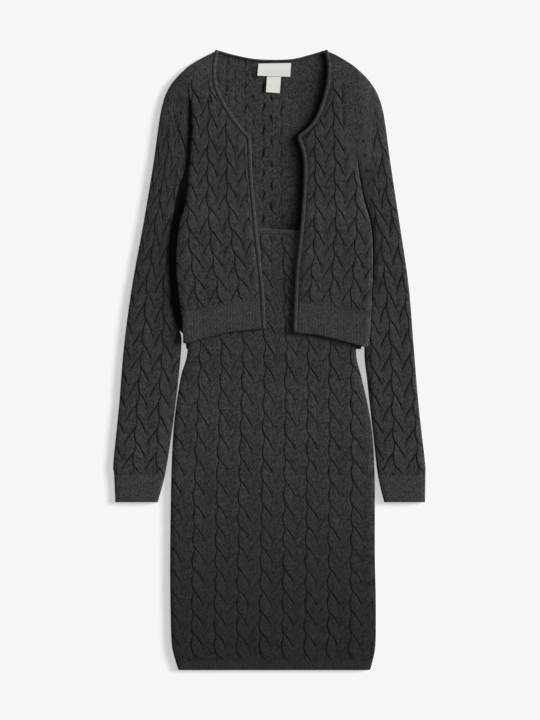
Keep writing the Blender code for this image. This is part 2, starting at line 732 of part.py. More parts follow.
def build_sleeves(parts, cutters):
    """Both sleeves with their cuffs."""
    for name, outer, inner, armhole, columns in (
        ("sleeve_left", SLEEVE_LEFT_OUTER, SLEEVE_LEFT_INNER, ARMHOLE_LEFT, SLEEVE_LEFT_COLUMNS),
        ("sleeve_right", SLEEVE_RIGHT_OUTER, SLEEVE_RIGHT_INNER, ARMHOLE_RIGHT, SLEEVE_RIGHT_COLUMNS),
    ):
        build_sleeve(name, outer, inner, armhole, columns, parts, cutters)


def build_labels(parts):
    """Two plain woven labels inside the back of the neck."""
    for name, middle, size in (
        ("main_label", LABEL_AT, LABEL_SIZE),
        ("size_label", SIZE_LABEL_AT, SIZE_LABEL_SIZE),
    ):
        corners = [
            Point(middle.x + side_x * size.x / 2, middle.y + side_y * size.y / 2)
            for side_x, side_y in ((-1, -1), (1, -1), (1, 1), (-1, 1))
        ]
        mesh = outline_mesh(name, corners, ON_ONE, ON_ONE + LABEL)
        new_object(name, mesh, parts, LABEL_CLOTH)


def main():
    """Builds the whole outfit."""
    for old in list(bpy.data.objects):
        bpy.data.objects.remove(old)
    parts = bpy.data.collections.new("sweater_dress")
    cutters = bpy.data.collections.new("cutters")
    for collection in (parts, cutters):
        bpy.context.scene.collection.children.link(collection)
    cutters.hide_render = True
    build_bolero_back(parts)
    build_dress_back(parts, cutters)
    build_dress_front(parts, cutters)
    build_dress_edges(parts)
    for name, x in zip(("strap_left", "strap_right"), STRAP_X):
        build_strap(name, x, parts)
    build_fronts(parts, cutters)
    build_bindings(parts)
    build_sleeves(parts, cutters)
    build_labels(parts)


main()
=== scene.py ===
"""Looks of the two-piece cable-knit sweater dress, laid flat on a pale floor.

A strap dress lies under a cropped open bolero of the same charcoal yarn. Sizes are in
millimetres and become metres where a mesh is made; +X is right, +Y is towards the neck and
+Z is up.
"""

from __future__ import annotations

import logging
import math
from dataclasses import dataclass
from enum import Enum
from typing import Any, Callable, Iterable

import bmesh
import bpy
import numpy as np
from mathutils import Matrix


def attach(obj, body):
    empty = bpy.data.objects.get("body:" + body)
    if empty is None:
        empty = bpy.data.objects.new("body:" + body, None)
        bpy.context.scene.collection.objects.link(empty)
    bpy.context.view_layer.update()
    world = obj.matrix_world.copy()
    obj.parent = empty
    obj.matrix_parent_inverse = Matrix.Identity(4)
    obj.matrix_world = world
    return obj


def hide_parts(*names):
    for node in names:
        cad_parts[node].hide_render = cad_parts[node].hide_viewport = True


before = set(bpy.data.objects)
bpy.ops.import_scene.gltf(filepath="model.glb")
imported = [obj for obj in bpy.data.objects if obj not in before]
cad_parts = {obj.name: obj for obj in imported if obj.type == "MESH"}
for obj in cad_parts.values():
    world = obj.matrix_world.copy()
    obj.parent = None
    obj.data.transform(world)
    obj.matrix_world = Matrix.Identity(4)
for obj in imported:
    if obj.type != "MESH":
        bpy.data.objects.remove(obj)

LOG = logging.getLogger("sweater_dress")
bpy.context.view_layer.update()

MM = 0.001
SHARP = 1.1  # radians, a corner
WELD = 0.07  # mm, vertices closer than this are one
OUTLINE_WELD = 0.3  # mm, the same on a panel's outline
SLIVER = 0.3  # mm2, a face too small to be seen
CLEAR = 0.5  # mm, what is farther out than this is cut away
RIM_ANGLES = (28.0, 58.0, 90.0)  # degrees, the rings of a rounded rim
# A rim's foot: share of the rim's reach and weld distance in mm, tried in turn until it closes.
FOOTS = ((0.92, 0.25), (0.92, 0.5), (0.6, 0.25), (0.3, 0.25), (0.0, 0.25), (0.0, 0.6))
LAYERS = ("column", "row", "relief")  # what each vertex carries for the finish
MAP_SCALE = 0.62  # height of a repeat on the stitch map, as a share of the real one
MAP_SHIFT = (7.0, 3.3)  # mm on the stitch map from column to column, and from half to half
LEAST_SHARE = 0.301  # the least area that a sheet may state, as a share of its flat size
WHITE = (1.0, 1.0, 1.0, 1.0)

Array = np.ndarray
Points = tuple[tuple[float, float], ...]
Rows = tuple[tuple[float, float, float], ...]
EdgeLine = Callable[[Array], Array]
BMesh = bmesh.types.BMesh
Object = bpy.types.Object
Material = bpy.types.Material

# ---- walls and the stack of layers, as in the solids, in mm ----
SEAM = 0.3  # gap between two layers
JOIN = 0.03  # gap where two pieces are knitted together
TUCK = 0.5  # how far the back reaches into the sleeve's seam
UNDER = 3.0  # wall of a hidden panel
BACK = UNDER - 0.4  # the same without its unevenness
WALL = 2.6  # wall in the grooves between cables
CABLE = 2.8  # height of a cable over its groove
RIB = 4.6  # wall at a rib's crest
FURROW = 0.25  # depth between two ribs
FILL = 0.7  # height of plain knit beside cables, as a share of the cables' height
FLOOR = 0.0
ON_ONE = UNDER + SEAM  # underside of what lies on one layer
ON_TWO = 2 * ON_ONE
UNDER_YOKE = ON_TWO + SEAM
OVER_DRESS = ON_TWO + WALL + CABLE + SEAM
BINDING = 6.8  # width of the rolled binding
NECK_BINDING = 4.2


class Slot(Enum):
    """Material slots of the record."""

    BODY = "knit_body"
    RIB = "knit_rib"
    LABEL = "label_cloth"


Finishes = dict[Slot, Material]


# ---- small helpers ----


def to_linear(code: str) -> tuple[float, float, float, float]:
    """Turns an sRGB hex colour into linear light.

    Args:
        code: Six hex digits, with or without a leading #.

    Returns:
        Linear red, green, blue and an alpha of 1.
    """
    parts = (int(code.lstrip("#")[i : i + 2], 16) / 255 for i in (0, 2, 4))
    linear = (c / 12.92 if c <= 0.04045 else ((c + 0.055) / 1.055) ** 2.4 for c in parts)
    return (*linear, 1.0)


def add_node(tree: bpy.types.NodeTree, kind: str, inputs: dict[Any, Any] | None = None, **settings: Any):
    """Adds a shader node with its settings, values and links.

    Args:
        tree: The material's node tree.
        kind: Blender's name of the node type.
        inputs: Socket name or number to a value, or to the output socket that feeds it.
        **settings: Attributes set on the node.

    Returns:
        The new node.
    """
    node = tree.nodes.new(kind)
    for name, value in settings.items():
        setattr(node, name, value)
    for socket, value in (inputs or {}).items():
        if isinstance(value, bpy.types.NodeSocket):
            tree.links.new(value, node.inputs[socket])
        else:
            node.inputs[socket].default_value = value
    return node


def new_material(name: str, values: dict[str, Any]) -> tuple[Material, bpy.types.Node]:
    """Makes a material of one Principled shader.

    Args:
        name: Material name.
        values: Name of a shader input to its value.

    Returns:
        The material and its shader.
    """
    material = bpy.data.materials.new(name)
    material.use_nodes = True
    shader = material.node_tree.nodes["Principled BSDF"]
    for socket, value in values.items():
        shader.inputs[socket].default_value = value
    return material, shader


def add_object(name: str, data: Any) -> Object:
    """Makes an object of a mesh, light or camera and links it to the scene."""
    made = bpy.data.objects.new(name, data)
    bpy.context.scene.collection.objects.link(made)
    return made


def spline(points: Points, steps: int = 8) -> Array:
    """Runs a smooth line (Catmull-Rom) through points.

    Args:
        points: The line's points, in mm.
        steps: Straight pieces between two points.

    Returns:
        An (n, 2) array of points on the line.
    """
    ends = np.array([points[0], *points, points[-1]], float)
    share = np.arange(1, steps + 1)[:, None] / steps
    runs = [ends[1:2]]
    for a, b, c, d in zip(ends, ends[1:], ends[2:], ends[3:]):
        bend = 2 * b + (c - a) * share + (2 * a - 5 * b + 4 * c - d) * share**2
        runs.append((bend + (3 * b - a - 3 * c + d) * share**3) / 2)
    return np.vstack(runs)


def by_height(*runs: Array) -> EdgeLine:
    """Makes a function that gives an edge's x at a height y.

    Args:
        *runs: Stretches of the edge, each an (n, 2) array whose y rises or falls throughout.

    Returns:
        A function from an array of y to an array of x.
    """
    line = np.vstack(runs)
    line = line[np.argsort(line[:, 1], kind="stable")]
    return lambda y: np.interp(y, line[:, 1], line[:, 0])


def by_width(run: Array) -> EdgeLine:
    """Makes a function that gives an edge's y at a place x across.

    Args:
        run: The edge, an (n, 2) array.

    Returns:
        A function from an array of x to an array of y.
    """
    line = run[np.argsort(run[:, 0], kind="stable")]
    return lambda x: np.interp(x, line[:, 0], line[:, 1])


def ease(value: Array) -> Array:
    """Smooth step from 0 to 1 of a value from 0 to 1."""
    value = np.clip(value, 0.0, 1.0)
    return value * value * (3 - 2 * value)


def wobble(x: Array, y: Array, seed: float, length: float = 60.0) -> Array:
    """Soft irregularity of cloth, from a few crossing waves.

    Args:
        x: Places across, in mm.
        y: Places along, in mm.
        seed: Any number; another one gives another pattern.
        length: Rough distance between two swells, in mm.

    Returns:
        Values from about -1 to 1.
    """
    total = np.zeros_like(x, dtype=float)
    for i in range(5):
        angle = seed * 1.7 + i * 1.21
        pitch = length * (0.7 + 0.22 * ((seed * 3.1 + i * 2.3) % 3))
        total += np.sin(math.tau * (x * math.cos(angle) + y * math.sin(angle)) / pitch + seed * (i + 2.0))
    return total / 3.2


def sag(x: Array, y: Array) -> Array:
    """How much higher the cloth lies at a place than on average, in mm."""
    return 0.35 * wobble(x, y, 1.0, 95.0)


def run_lengths(line: Array) -> Array:
    """Length along a line up to each of its points."""
    return np.concatenate([[0], np.cumsum(np.hypot(*np.diff(line, axis=0).T))])


# ---- the cable ----


@dataclass(frozen=True)
class Plait:
    """Three-strand cable: lobes that slant from both grooves down to the middle of the column.

    A lobe's surface rises out from under the lobe above it and ends in its own lower edge. The
    right lobes lie half a repeat lower than the left ones.

    Attributes:
        slant: How far a lobe's edge runs down from its branch to the middle, in repeats.
        meander: How far a groove swings to a side, in column widths.
        zigzag: The same for the line where left and right lobes meet.
        groove: Width of a lobe's rounded outer side, as a share of half the column.
        deep: Greatest depth of the groove.
        notch: Depth of the narrow notch where a lobe comes out from under the one above.
        under: How much lower than its crest a lobe starts beside the notch.
        lip: How much lower a lobe's own edge is than its crest.
        soft: How much of this shape the right lobes keep; they press less on each other.
        line: Widths of the painted shade line in the groove, in mm, and in the notch, in repeats.
    """

    slant: float = 0.63
    meander: float = 0.05
    zigzag: float = 0.04
    groove: float = 0.09
    deep: float = 0.7
    notch: float = 0.5
    under: float = 0.16
    lip: float = 0.07
    soft: float = 0.6
    line: tuple[float, float] = (1.05, 0.041)

    def across(self) -> Array:
        """Places of the grid's columns in one half of a cable, from the groove to the middle."""
        return np.array([0.0, 0.022, 0.05, 0.1, 0.18, 0.3, 0.45, 0.64, 0.84])

    def down(self) -> Array:
        """Places of the grid's rows in half a repeat, close together at a lobe's edge."""
        return np.array([0.0, 0.03, 0.08, 0.16, 0.26, 0.36, 0.44, 0.482])

    def lag(self, u: Array) -> Array:
        """How far a lobe's edge lies below its branch, in repeats, at u from groove to middle.

        The edge comes down along the groove, bends off at the branch and gets steeper to the middle.
        """
        return -0.068 + 0.337 * u + 0.361 * u * u - 0.2 * np.exp(-u / 0.07)

    def crest(self, phase: Array) -> Array:
        """Height across a lobe.

        Args:
            phase: 0 under the lobe above, 1 at its own edge.

        Returns:
            Height from 0 to 1.
        """
        phase = phase - np.floor(phase)
        rise = 1 - self.notch * np.exp(-phase / 0.022) - self.under * np.exp(-phase / 0.2)
        return rise - self.lip * np.clip((phase - 0.9) / 0.1, 0, 1) ** 2

    def height(self, u: Array, row: Array, right: Array) -> Array:
        """Height of the cable over its grooves.

        Args:
            u: 0 at the groove, 1 at the middle.
            row: Place along the cable in repeats, on the lobes' own slanting rows.
            right: True in the right half of the column.

        Returns:
            Height from 0 to 1.
        """
        left_lobe = self.crest(row)
        right_lobe = 1 - self.soft * (1 - self.crest(row + 0.5))
        near = np.where(right, right_lobe, left_lobe)
        far = np.where(right, left_lobe, right_lobe)
        meet = ease((u - 0.9) / 0.1)
        crest = near * (1 - meet) + 0.5 * (near + far) * meet
        round_side = 1 - np.sqrt(1 - (1 - np.clip(u / self.groove, 0, 1)) ** 2)
        return crest * (1 - self.deep * self.pinch(row) * round_side) * (1 - 0.06 * ease((u - 0.7) / 0.3))

    def pinch(self, row: Array) -> Array:
        """How tightly the groove is closed: most above a branch, least below it."""
        return 0.8 + 0.2 * np.cos(math.tau * (row + 0.02))

    def shade(self, u: Array, row: Array, right: Array, pitch: Array) -> Array:
        """How little light gets down between two strands, 0 on top of them to 1.

        Args:
            u: 0 at the groove, 1 at the middle.
            row: Place along the cable in repeats.
            right: True in the right half of the column.
            pitch: Width of the column, in mm.

        Returns:
            The darkness, from 0 to 1.
        """
        wide, tall = self.line
        slip = np.where(right, row + 0.5, row)
        notch = np.exp(-(((slip - np.round(slip)) / tall) ** 2)) * (1 - ease((u - 0.84) / 0.14))
        notch *= np.where(right, self.soft, 1.0)
        return np.maximum(notch, np.exp(-((u * pitch / 2 / wide) ** 2)) * self.pinch(row))


SKIRT_PLAIT = Plait(soft=0.3)
FRONT_PLAIT = Plait(soft=0.7, notch=0.6, under=0.22, line=(1.3, 0.048))
SLEEVE_PLAIT = Plait(soft=0.85, notch=0.6, under=0.22, line=(1.3, 0.048))


@dataclass(frozen=True)
class Lay:
    """How the cables run down a panel.

    Attributes:
        columns: Rows of y, x of the middle column and width of a column, from the top down.
        repeats: Pairs of a repeat count and its y, from the top down.
        plait: Shape of the cables.
        start: Height over which the grid's rows run straight across, in mm.
    """

    columns: Rows
    repeats: Points
    plait: Plait = SKIRT_PLAIT
    start: float = 1000.0

    def along(self, count: Array) -> Array:
        """The y of a repeat count, also past either end of the table."""
        table = np.array(self.repeats)
        low = (table[1] - table[0]) / (table[1, 0] - table[0, 0])
        high = (table[-1] - table[-2]) / (table[-1, 0] - table[-2, 0])
        inside = np.interp(count, table[:, 0], table[:, 1])
        before = np.minimum(count - table[0, 0], 0.0) * low[1]
        after = np.maximum(count - table[-1, 0], 0.0) * high[1]
        return inside + before + after

    def place(self, column: Array, count: Array) -> tuple[Array, Array]:
        """The x and y of a place in columns and repeats."""
        y = self.along(count)
        table = np.array(self.columns)[::-1]
        middle = np.interp(y, table[:, 0], table[:, 1])
        pitch = np.interp(y, table[:, 0], table[:, 2])
        return middle + (column - 0.5) * pitch, y


# ---- finishes ----


@dataclass(frozen=True)
class Yarn:
    """Charcoal melange yarn: wool and viscose, dyed in the fibre, knitted fine.

    Each stitch shows a little more of the pale or of the dark fibre, so the cloth looks grainy
    from afar. It is matt, with a weak sheen from the loose fibre ends.

    Attributes:
        name: Material name.
        dark: Colour of a dark stitch, sRGB hex.
        pale: Colour of a pale stitch.
        wale: Width of one column of stitches, in mm.
        course: Height of one row of stitches, in mm.
        contrast: How far the colours spread, 0 to 1.
        spread: How far the stitches, the fibres and clouds of fibres do so at full contrast.
        fineness: Scale of the fibres and of their clouds.
        depth: Height of a stitch for the bump, in mm.
        groove: Colour factor where the relief is 0: painted shade in the grooves and notches, where less
            light gets in.
        hem_shade: Colour factor at the foot of a panel whose knit painted shade darkens towards its foot.
    """

    name: str
    dark: str = "#212122"
    pale: str = "#454546"
    wale: float = 2.3
    course: float = 2.0
    contrast: float = 1.0
    spread: tuple[float, float, float] = (1.7, 3.5, 0.9)
    fineness: tuple[float, float] = (420.0, 110.0)
    depth: float = 0.5
    groove: float = 0.1
    hem_shade: float = 0.47

    def build(self) -> Material:
        """Builds the node material.

        Returns:
            The material, which reads the piece's UV map "strand" in millimetres, its attributes
            "relief" and "hem_shade" of painted shade, and Object coordinates for the melange.
        """
        surface = {"Roughness": 0.92, "IOR": 1.45, "Specular IOR Level": 0.25}
        fuzz = {"Sheen Weight": 0.06, "Sheen Roughness": 0.6}
        material, shader = new_material(self.name, surface | fuzz)
        tree = material.node_tree

        def math_node(operation: str, *values: Any) -> bpy.types.NodeSocket:
            """One Math node of values or sockets, and its output."""
            node = add_node(tree, "ShaderNodeMath", dict(enumerate(values)), operation=operation)
            return node.outputs[0]

        strand = add_node(tree, "ShaderNodeUVMap", uv_map="strand")
        split = add_node(tree, "ShaderNodeSeparateXYZ", {0: strand.outputs[0]})
        wale = math_node("DIVIDE", split.outputs[0], self.wale)
        middle = math_node("SUBTRACT", math_node("FRACT", wale), 0.5)
        side = math_node("MULTIPLY", math_node("ABSOLUTE", middle), 2.0)
        course = math_node("DIVIDE", split.outputs[1], self.course)
        row = math_node("ADD", course, math_node("MULTIPLY", side, 0.5))
        loop = math_node("SINE", math_node("MULTIPLY", math_node("FRACT", row), math.pi))
        leg = math_node("SUBTRACT", 1.0, math_node("MULTIPLY", side, side))
        stitch = math_node("MULTIPLY", loop, leg)

        number = math_node("FLOOR", math_node("MULTIPLY", wale, 2.0))
        cell = add_node(tree, "ShaderNodeCombineXYZ", {0: number, 1: math_node("FLOOR", row)})
        each = add_node(tree, "ShaderNodeTexWhiteNoise", {"Vector": cell.outputs[0]}, noise_dimensions="3D")
        place = add_node(tree, "ShaderNodeTexCoord").outputs["Object"]
        fine, coarse = self.fineness
        hair = {"Vector": place, "Scale": fine, "Detail": 3.0, "Roughness": 0.65}
        fibre = add_node(tree, "ShaderNodeTexNoise", hair)
        cloud = add_node(tree, "ShaderNodeTexNoise", {"Vector": place, "Scale": coarse, "Detail": 2.0})
        mix: Any = 0.5
        sources = (each.outputs["Value"], fibre.outputs[0], cloud.outputs[0])
        for source, spread in zip(sources, self.spread):
            mix = math_node("MULTIPLY_ADD", math_node("SUBTRACT", source, 0.5), spread * self.contrast, mix)
        # Painted shade of the stitches: the colour follows the loops' height and is darker in the gaps
        # between them.
        mix = math_node("MULTIPLY_ADD", math_node("SUBTRACT", stitch, 0.4), 0.25, mix)
        colours = {"Factor": mix, "A": to_linear(self.dark), "B": to_linear(self.pale)}
        tone = add_node(tree, "ShaderNodeMix", colours, data_type="RGBA")
        # Painted shade: the attribute "relief" darkens the colour in grooves, notches, pits and creases,
        # down to the factor groove.
        relief = add_node(tree, "ShaderNodeAttribute", attribute_name="relief").outputs["Fac"]
        shade = add_node(tree, "ShaderNodeMapRange", {"Value": relief, "To Min": self.groove})
        # Painted shade that darkens the knit towards the hem.
        hem_shade = add_node(tree, "ShaderNodeAttribute", attribute_name="hem_shade").outputs["Fac"]
        less = math_node("MULTIPLY_ADD", hem_shade, self.hem_shade - 1, 1.0)
        factor = {0: tone.outputs["Result"], "Scale": math_node("MULTIPLY", shade.outputs[0], less)}
        final = add_node(tree, "ShaderNodeVectorMath", factor, operation="SCALE")
        height = math_node("MULTIPLY_ADD", fibre.outputs[0], 0.6, stitch)
        stand = {"Height": height, "Distance": self.depth * MM, "Strength": 0.7}
        bump = add_node(tree, "ShaderNodeBump", stand)
        tree.links.new(final.outputs[0], shader.inputs["Base Color"])
        tree.links.new(bump.outputs[0], shader.inputs["Normal"])
        return material


@dataclass(frozen=True)
class LabelCloth:
    """Off-white damask ribbon of polyester: a fine, even weave with a faint gloss.

    Attributes:
        name: Material name.
        colour: Colour of the thread, sRGB hex.
        shadow: Its colour between two threads.
        thread: Distance between two threads, in mm, coarser than real so that it shows.
    """

    name: str = "woven_label_polyester"
    colour: str = "#f8f6f2"
    shadow: str = "#efece6"
    thread: float = 0.7

    def build(self) -> Material:
        """Builds the node material on Object coordinates.

        Returns:
            The material.
        """
        material, shader = new_material(self.name, {"Roughness": 0.6, "IOR": 1.5})
        tree = material.node_tree
        place = add_node(tree, "ShaderNodeTexCoord").outputs["Object"]
        scale = math.tau / (self.thread * MM) / 20
        wave = {"Vector": place, "Scale": scale, "Distortion": 0.4, "Detail": 1.0}
        warp, weft = (add_node(tree, "ShaderNodeTexWave", wave, bands_direction=way) for way in "XY")
        threads = {0: warp.outputs[1], 1: weft.outputs[1]}
        weave = add_node(tree, "ShaderNodeMath", threads, operation="MULTIPLY").outputs[0]
        colours = {"Factor": weave, "A": to_linear(self.shadow), "B": to_linear(self.colour)}
        tone = add_node(tree, "ShaderNodeMix", colours, data_type="RGBA")
        stand = {"Height": weave, "Distance": 0.1 * MM, "Strength": 0.4}
        bump = add_node(tree, "ShaderNodeBump", stand)
        tree.links.new(tone.outputs["Result"], shader.inputs["Base Color"])
        tree.links.new(bump.outputs[0], shader.inputs["Normal"])
        return material


# ---- panels ----


@dataclass
class Cut:
    """The cut of a panel: its edges seen from above.

    Attributes:
        left: x of the left edge at a height y.
        right: x of the right edge at a height y.
        top: y of the top edge at a place x.
        bottom: y of the bottom edge at a place x.
    """

    left: EdgeLine
    right: EdgeLine
    top: EdgeLine
    bottom: EdgeLine

    def clear(self, x: Array, y: Array) -> Array:
        """Distance from the nearer side edge, above 0 inside."""
        return np.minimum(x - self.left(y), self.right(y) - x)


def level(value: float) -> EdgeLine:
    """An edge at one height or place throughout."""
    return lambda other: np.full(np.shape(other), float(value))


def path_lean(line: EdgeLine, at: Array) -> Array:
    """Slope of an edge: change of its value for one mm along."""
    return (line(at + 0.8) - line(at - 0.8)) / 1.6


def rounded(*radii: float | EdgeLine) -> Cut:
    """Radii of a panel's rim left, right, at the top and bottom: numbers, or functions of the place."""
    return Cut(*(radius if callable(radius) else level(radius) for radius in radii))


@dataclass
class Panel:
    """A closed knitted panel: relief above, rounded rim, flat underside.

    Attributes:
        node: CAD node that the panel replaces.
        kind: What it is: knit, rib, roll, band or ribbon.
        cut: The panel's edges.
        rim: Radius of the rounded edge at each side, 0 where it is knitted on to another panel.
        under: Pairs of y and height of the underside, from the top down.
        wall: Height of the plain upper side over the underside, in mm.
        open_ends: Heights y where a tube is open; it is then a hollow wall.
        tube_wall: Thickness of that wall, in mm.
        hem_shade: Heights y between which painted shade darkens the knit towards the foot, or None.
    """

    node: str
    kind: str
    cut: Cut
    rim: Cut
    under: Points = ((0.0, FLOOR),)
    wall: float = WALL
    open_ends: tuple[float, ...] = ()
    tube_wall: float = 1.2
    hem_shade: tuple[float, float] | None = None

    def base(self, y: Array) -> Array:
        """Height of the underside at y."""
        table = np.array(self.under)[::-1]
        return np.interp(y, table[:, 0], table[:, 1])

    def body(self, x: Array, y: Array) -> Array:
        """Share of the full thickness: up to 0.45 less over 3.5 radii beside a rounded side."""
        share = np.ones_like(x)
        cut, rim = self.cut, self.rim
        for inside, radius in ((x - cut.left(y), rim.left(y)), (cut.right(y) - x, rim.right(y))):
            thin = 0.45 * np.clip(radius / 1.8, 0, 1) * (radius > 0.2)
            share = np.minimum(share, 1 - thin * (1 - ease(inside / (3.5 * radius + 0.01))))
        return share

    def build(self, grid: Grid, finishes: Finishes, *rests_on: str) -> None:
        """Args:
            grid: Places, heights and stitch directions of the upper side.
            finishes: The material of each slot.
            *rests_on: Names of what it lies on; not used.
        """
        bm = self.mesh(grid)
        if self.open_ends:
            self.open_tube(bm)
        piece = finish_piece(self, bm, finishes, grid.cable, grid.pitch)
        if self.open_ends:
            thicken(piece, self.tube_wall, -1.0)
        self.declare(piece)

    def mesh(self, grid: Grid) -> BMesh:
        """Makes the closed mesh, in mm, from the grid of its upper side."""
        bm = bmesh.new()
        wide, tall = grid.x.shape[1] - 1, grid.x.shape[0] - 1
        bmesh.ops.create_grid(bm, x_segments=wide, y_segments=tall, size=1.0)
        bm.verts.ensure_lookup_table()
        unit = np.array([vert.co[:2] for vert in bm.verts])
        steps = np.round((unit + 1) / 2 * (wide, tall)).astype(int)
        i, j = steps[:, 0], tall - steps[:, 1]
        far = self.trim(grid)[j, i]
        x, y, z = grid.x[j, i], grid.y[j, i], grid.z[j, i]
        outward = self.outward(x, y, far)
        layers = [(bm.verts.layers.float.new(name), getattr(grid, name)[j, i]) for name in LAYERS]
        side = bm.verts.layers.float_vector.new("outward")
        for n, vert in enumerate(bm.verts):
            vert.co = (x[n], y[n], z[n])
            vert[side] = (*outward[n], 0.0)
            for layer, values in layers:
                vert[layer] = values[n]
        place = {vert: n for n, vert in enumerate(bm.verts)}
        outside = []
        for face in bm.faces:
            bits = [int(far[place[vert]]) for vert in face.verts]
            one_side = np.bitwise_and.reduce(bits) > 0 or face.calc_area() < SLIVER
            if (all(bits) and one_side) or max(bits) > 15:
                outside.append(face)
        bmesh.ops.delete(bm, geom=outside, context="FACES")
        bmesh.ops.remove_doubles(bm, verts=bm.verts, dist=WELD)
        bmesh.ops.dissolve_degenerate(bm, edges=bm.edges, dist=WELD / 2)
        self.keep_largest(bm)
        outline = [vert for vert in bm.verts if vert.is_boundary]
        bmesh.ops.remove_doubles(bm, verts=outline, dist=OUTLINE_WELD)
        self.unfold_outline(bm)
        self.open_pinches(bm)
        self.restore_outward(bm, side)
        self.mend_outward(bm, side)
        return self.add_rim(bm, side)

    def declare(self, piece: Object) -> None:
        points = np.array([vert.co[:2] for vert in piece.data.vertices])
        low, high = points.min(axis=0), points.max(axis=0)
        xs, ys = np.meshgrid(np.linspace(low[0], high[0], 160), np.linspace(low[1], high[1], 160))
        xs, ys = xs / MM, ys / MM
        inside = (self.cut.clear(xs, ys) > 0) & (ys < self.cut.top(xs)) & (ys > self.cut.bottom(xs))
        size = high - low
        sides = 2 if self.open_ends else 1
        area = float(inside.mean() * size[0] * size[1] * sides)
        flat = (float(size[0]) * sides, float(size[1]))
        area = min(max(area, LEAST_SHARE * flat[0] * flat[1]), flat[0] * flat[1])

    def open_tube(self, bm: BMesh) -> None:
        """Takes away the upright faces that close a tube's open ends."""
        ends = [
            face
            for face in bm.faces
            if any(all(abs(vert.co.y - y) < 0.05 for vert in face.verts) for y in self.open_ends)
        ]
        bmesh.ops.delete(bm, geom=ends, context="FACES")

    def trim(self, grid: Grid) -> Array:
        """Ends the grid's rows and columns exactly on the panel's edges.

        Args:
            grid: The grid; what lies outside is gathered on the edge.

        Returns:
            Which edges a vertex was moved to: a sum of 1 left, 2 right, 4 top and 8 bottom, and
            of 16 where it still lies well outside.
        """
        far = np.zeros(grid.x.shape, int)
        for n, (x, y) in enumerate(zip(grid.x, grid.y)):
            first, last = grid.gather((n, slice(None)), np.minimum(*self.side_gaps(x, y)))
            far[n, :first] |= 1
            far[n, last + 1 :] |= 2
        for n, (x, y) in enumerate(zip(grid.x.T, grid.y.T)):
            first, last = grid.gather((slice(None), n), np.minimum(*self.end_gaps(x, y)))
            far[:first, n] |= 4
            far[last + 1 :, n] |= 8
        nearest = np.minimum.reduce([*self.side_gaps(grid.x, grid.y), *self.end_gaps(grid.x, grid.y)])
        return far | np.where(nearest < -CLEAR, 16, 0)

    @staticmethod
    def inset(line: EdgeLine, radius: EdgeLine, at: Array) -> Array:
        """How far an edge of the upper side lies inside the cut, along its row or column."""
        return radius(at) * np.minimum(np.hypot(1, path_lean(line, at)), 2.5)

    def side_gaps(self, x: Array, y: Array) -> tuple[Array, Array]:
        """How far a place is inside the left and the right edge of the upper side."""
        cut, rim = self.cut, self.rim
        left = x - cut.left(y) - self.inset(cut.left, rim.left, y)
        return left, cut.right(y) - self.inset(cut.right, rim.right, y) - x

    def end_gaps(self, x: Array, y: Array) -> tuple[Array, Array]:
        """How far a place is inside its top and bottom edge."""
        cut, rim = self.cut, self.rim
        top = cut.top(x) - self.inset(cut.top, rim.top, x) - y
        return top, y - cut.bottom(x) - self.inset(cut.bottom, rim.bottom, x)

    def outward(self, x: Array, y: Array, far: Array) -> Array:
        """How far the rim reaches out from each vertex on an edge, as a vector in mm."""
        found = np.zeros((len(x), 2))
        most = np.zeros(len(x))
        cut, rim = self.cut, self.rim
        for bit, line, radius, at, sign in (
            (1, cut.left, rim.left, y, -1.0),
            (2, cut.right, rim.right, y, 1.0),
            (4, cut.top, rim.top, x, 1.0),
            (8, cut.bottom, rim.bottom, x, -1.0),
        ):
            lean = path_lean(line, at)
            reach = sign * radius(at) / np.hypot(1.0, lean)
            way = np.column_stack([reach, -lean * reach] if bit < 4 else [-lean * reach, reach])
            on = (far & bit) > 0
            found[on] += way[on]
            most[on] = np.maximum(most[on], np.abs(radius(at))[on])
        size = np.maximum(np.hypot(found[:, 0], found[:, 1]), 1e-9)
        found *= np.minimum(most / size, 1.0)[:, None]
        for bit, line, radius in ((4, cut.top, rim.top), (8, cut.bottom, rim.bottom)):
            joined = ((far & bit) > 0) & (radius(x) < 0.01)
            found[joined, 1] = (found[:, 0] * path_lean(line, x))[joined]
        return found

    def restore_outward(self, bm: BMesh, side: Any) -> None:
        """Gives an edge vertex that lost its outward direction in welding a new one."""
        verts = [vert for vert in bm.verts if vert.is_boundary]
        x, y = np.array([vert.co[:2] for vert in verts]).T
        gaps = (*self.side_gaps(x, y), *self.end_gaps(x, y))
        far = sum(bit * (np.abs(gap) < OUTLINE_WELD) for bit, gap in zip((1, 2, 4, 8), gaps))
        for vert, way in zip(verts, self.outward(x, y, far)):
            if vert[side].length < 0.6 * math.hypot(*way):
                vert[side] = (*way, 0.0)

    @staticmethod
    def mend_outward(bm: BMesh, side: Any) -> None:
        """Gives an edge vertex that has no outward direction that of its neighbours."""
        for vert in [vert for vert in bm.verts if vert.is_boundary and vert[side].length < 1e-6] * 2:
            near = [edge.other_vert(vert)[side].copy() for edge in vert.link_edges if edge.is_boundary]
            if all(way.length > 1e-6 for way in near):
                vert[side] = sum(near[1:], near[0]) / len(near)

    @staticmethod
    def unfold_outline(bm: BMesh) -> None:
        """Merges a vertex where the outline runs back on itself into its nearer neighbour."""
        folded = True
        while folded:
            folded, touched = {}, set()
            for vert in bm.verts:
                near = [edge.other_vert(vert) for edge in vert.link_edges if edge.is_boundary]
                if len(near) != 2 or touched.intersection((vert, *near)):
                    continue
                one, two = ((other.co - vert.co).xy for other in near)
                if one.dot(two) > 0.9 * one.length * two.length:
                    folded[vert] = near[0] if one.length < two.length else near[1]
                    touched.update((vert, *near))
            bmesh.ops.weld_verts(bm, targetmap=folded)

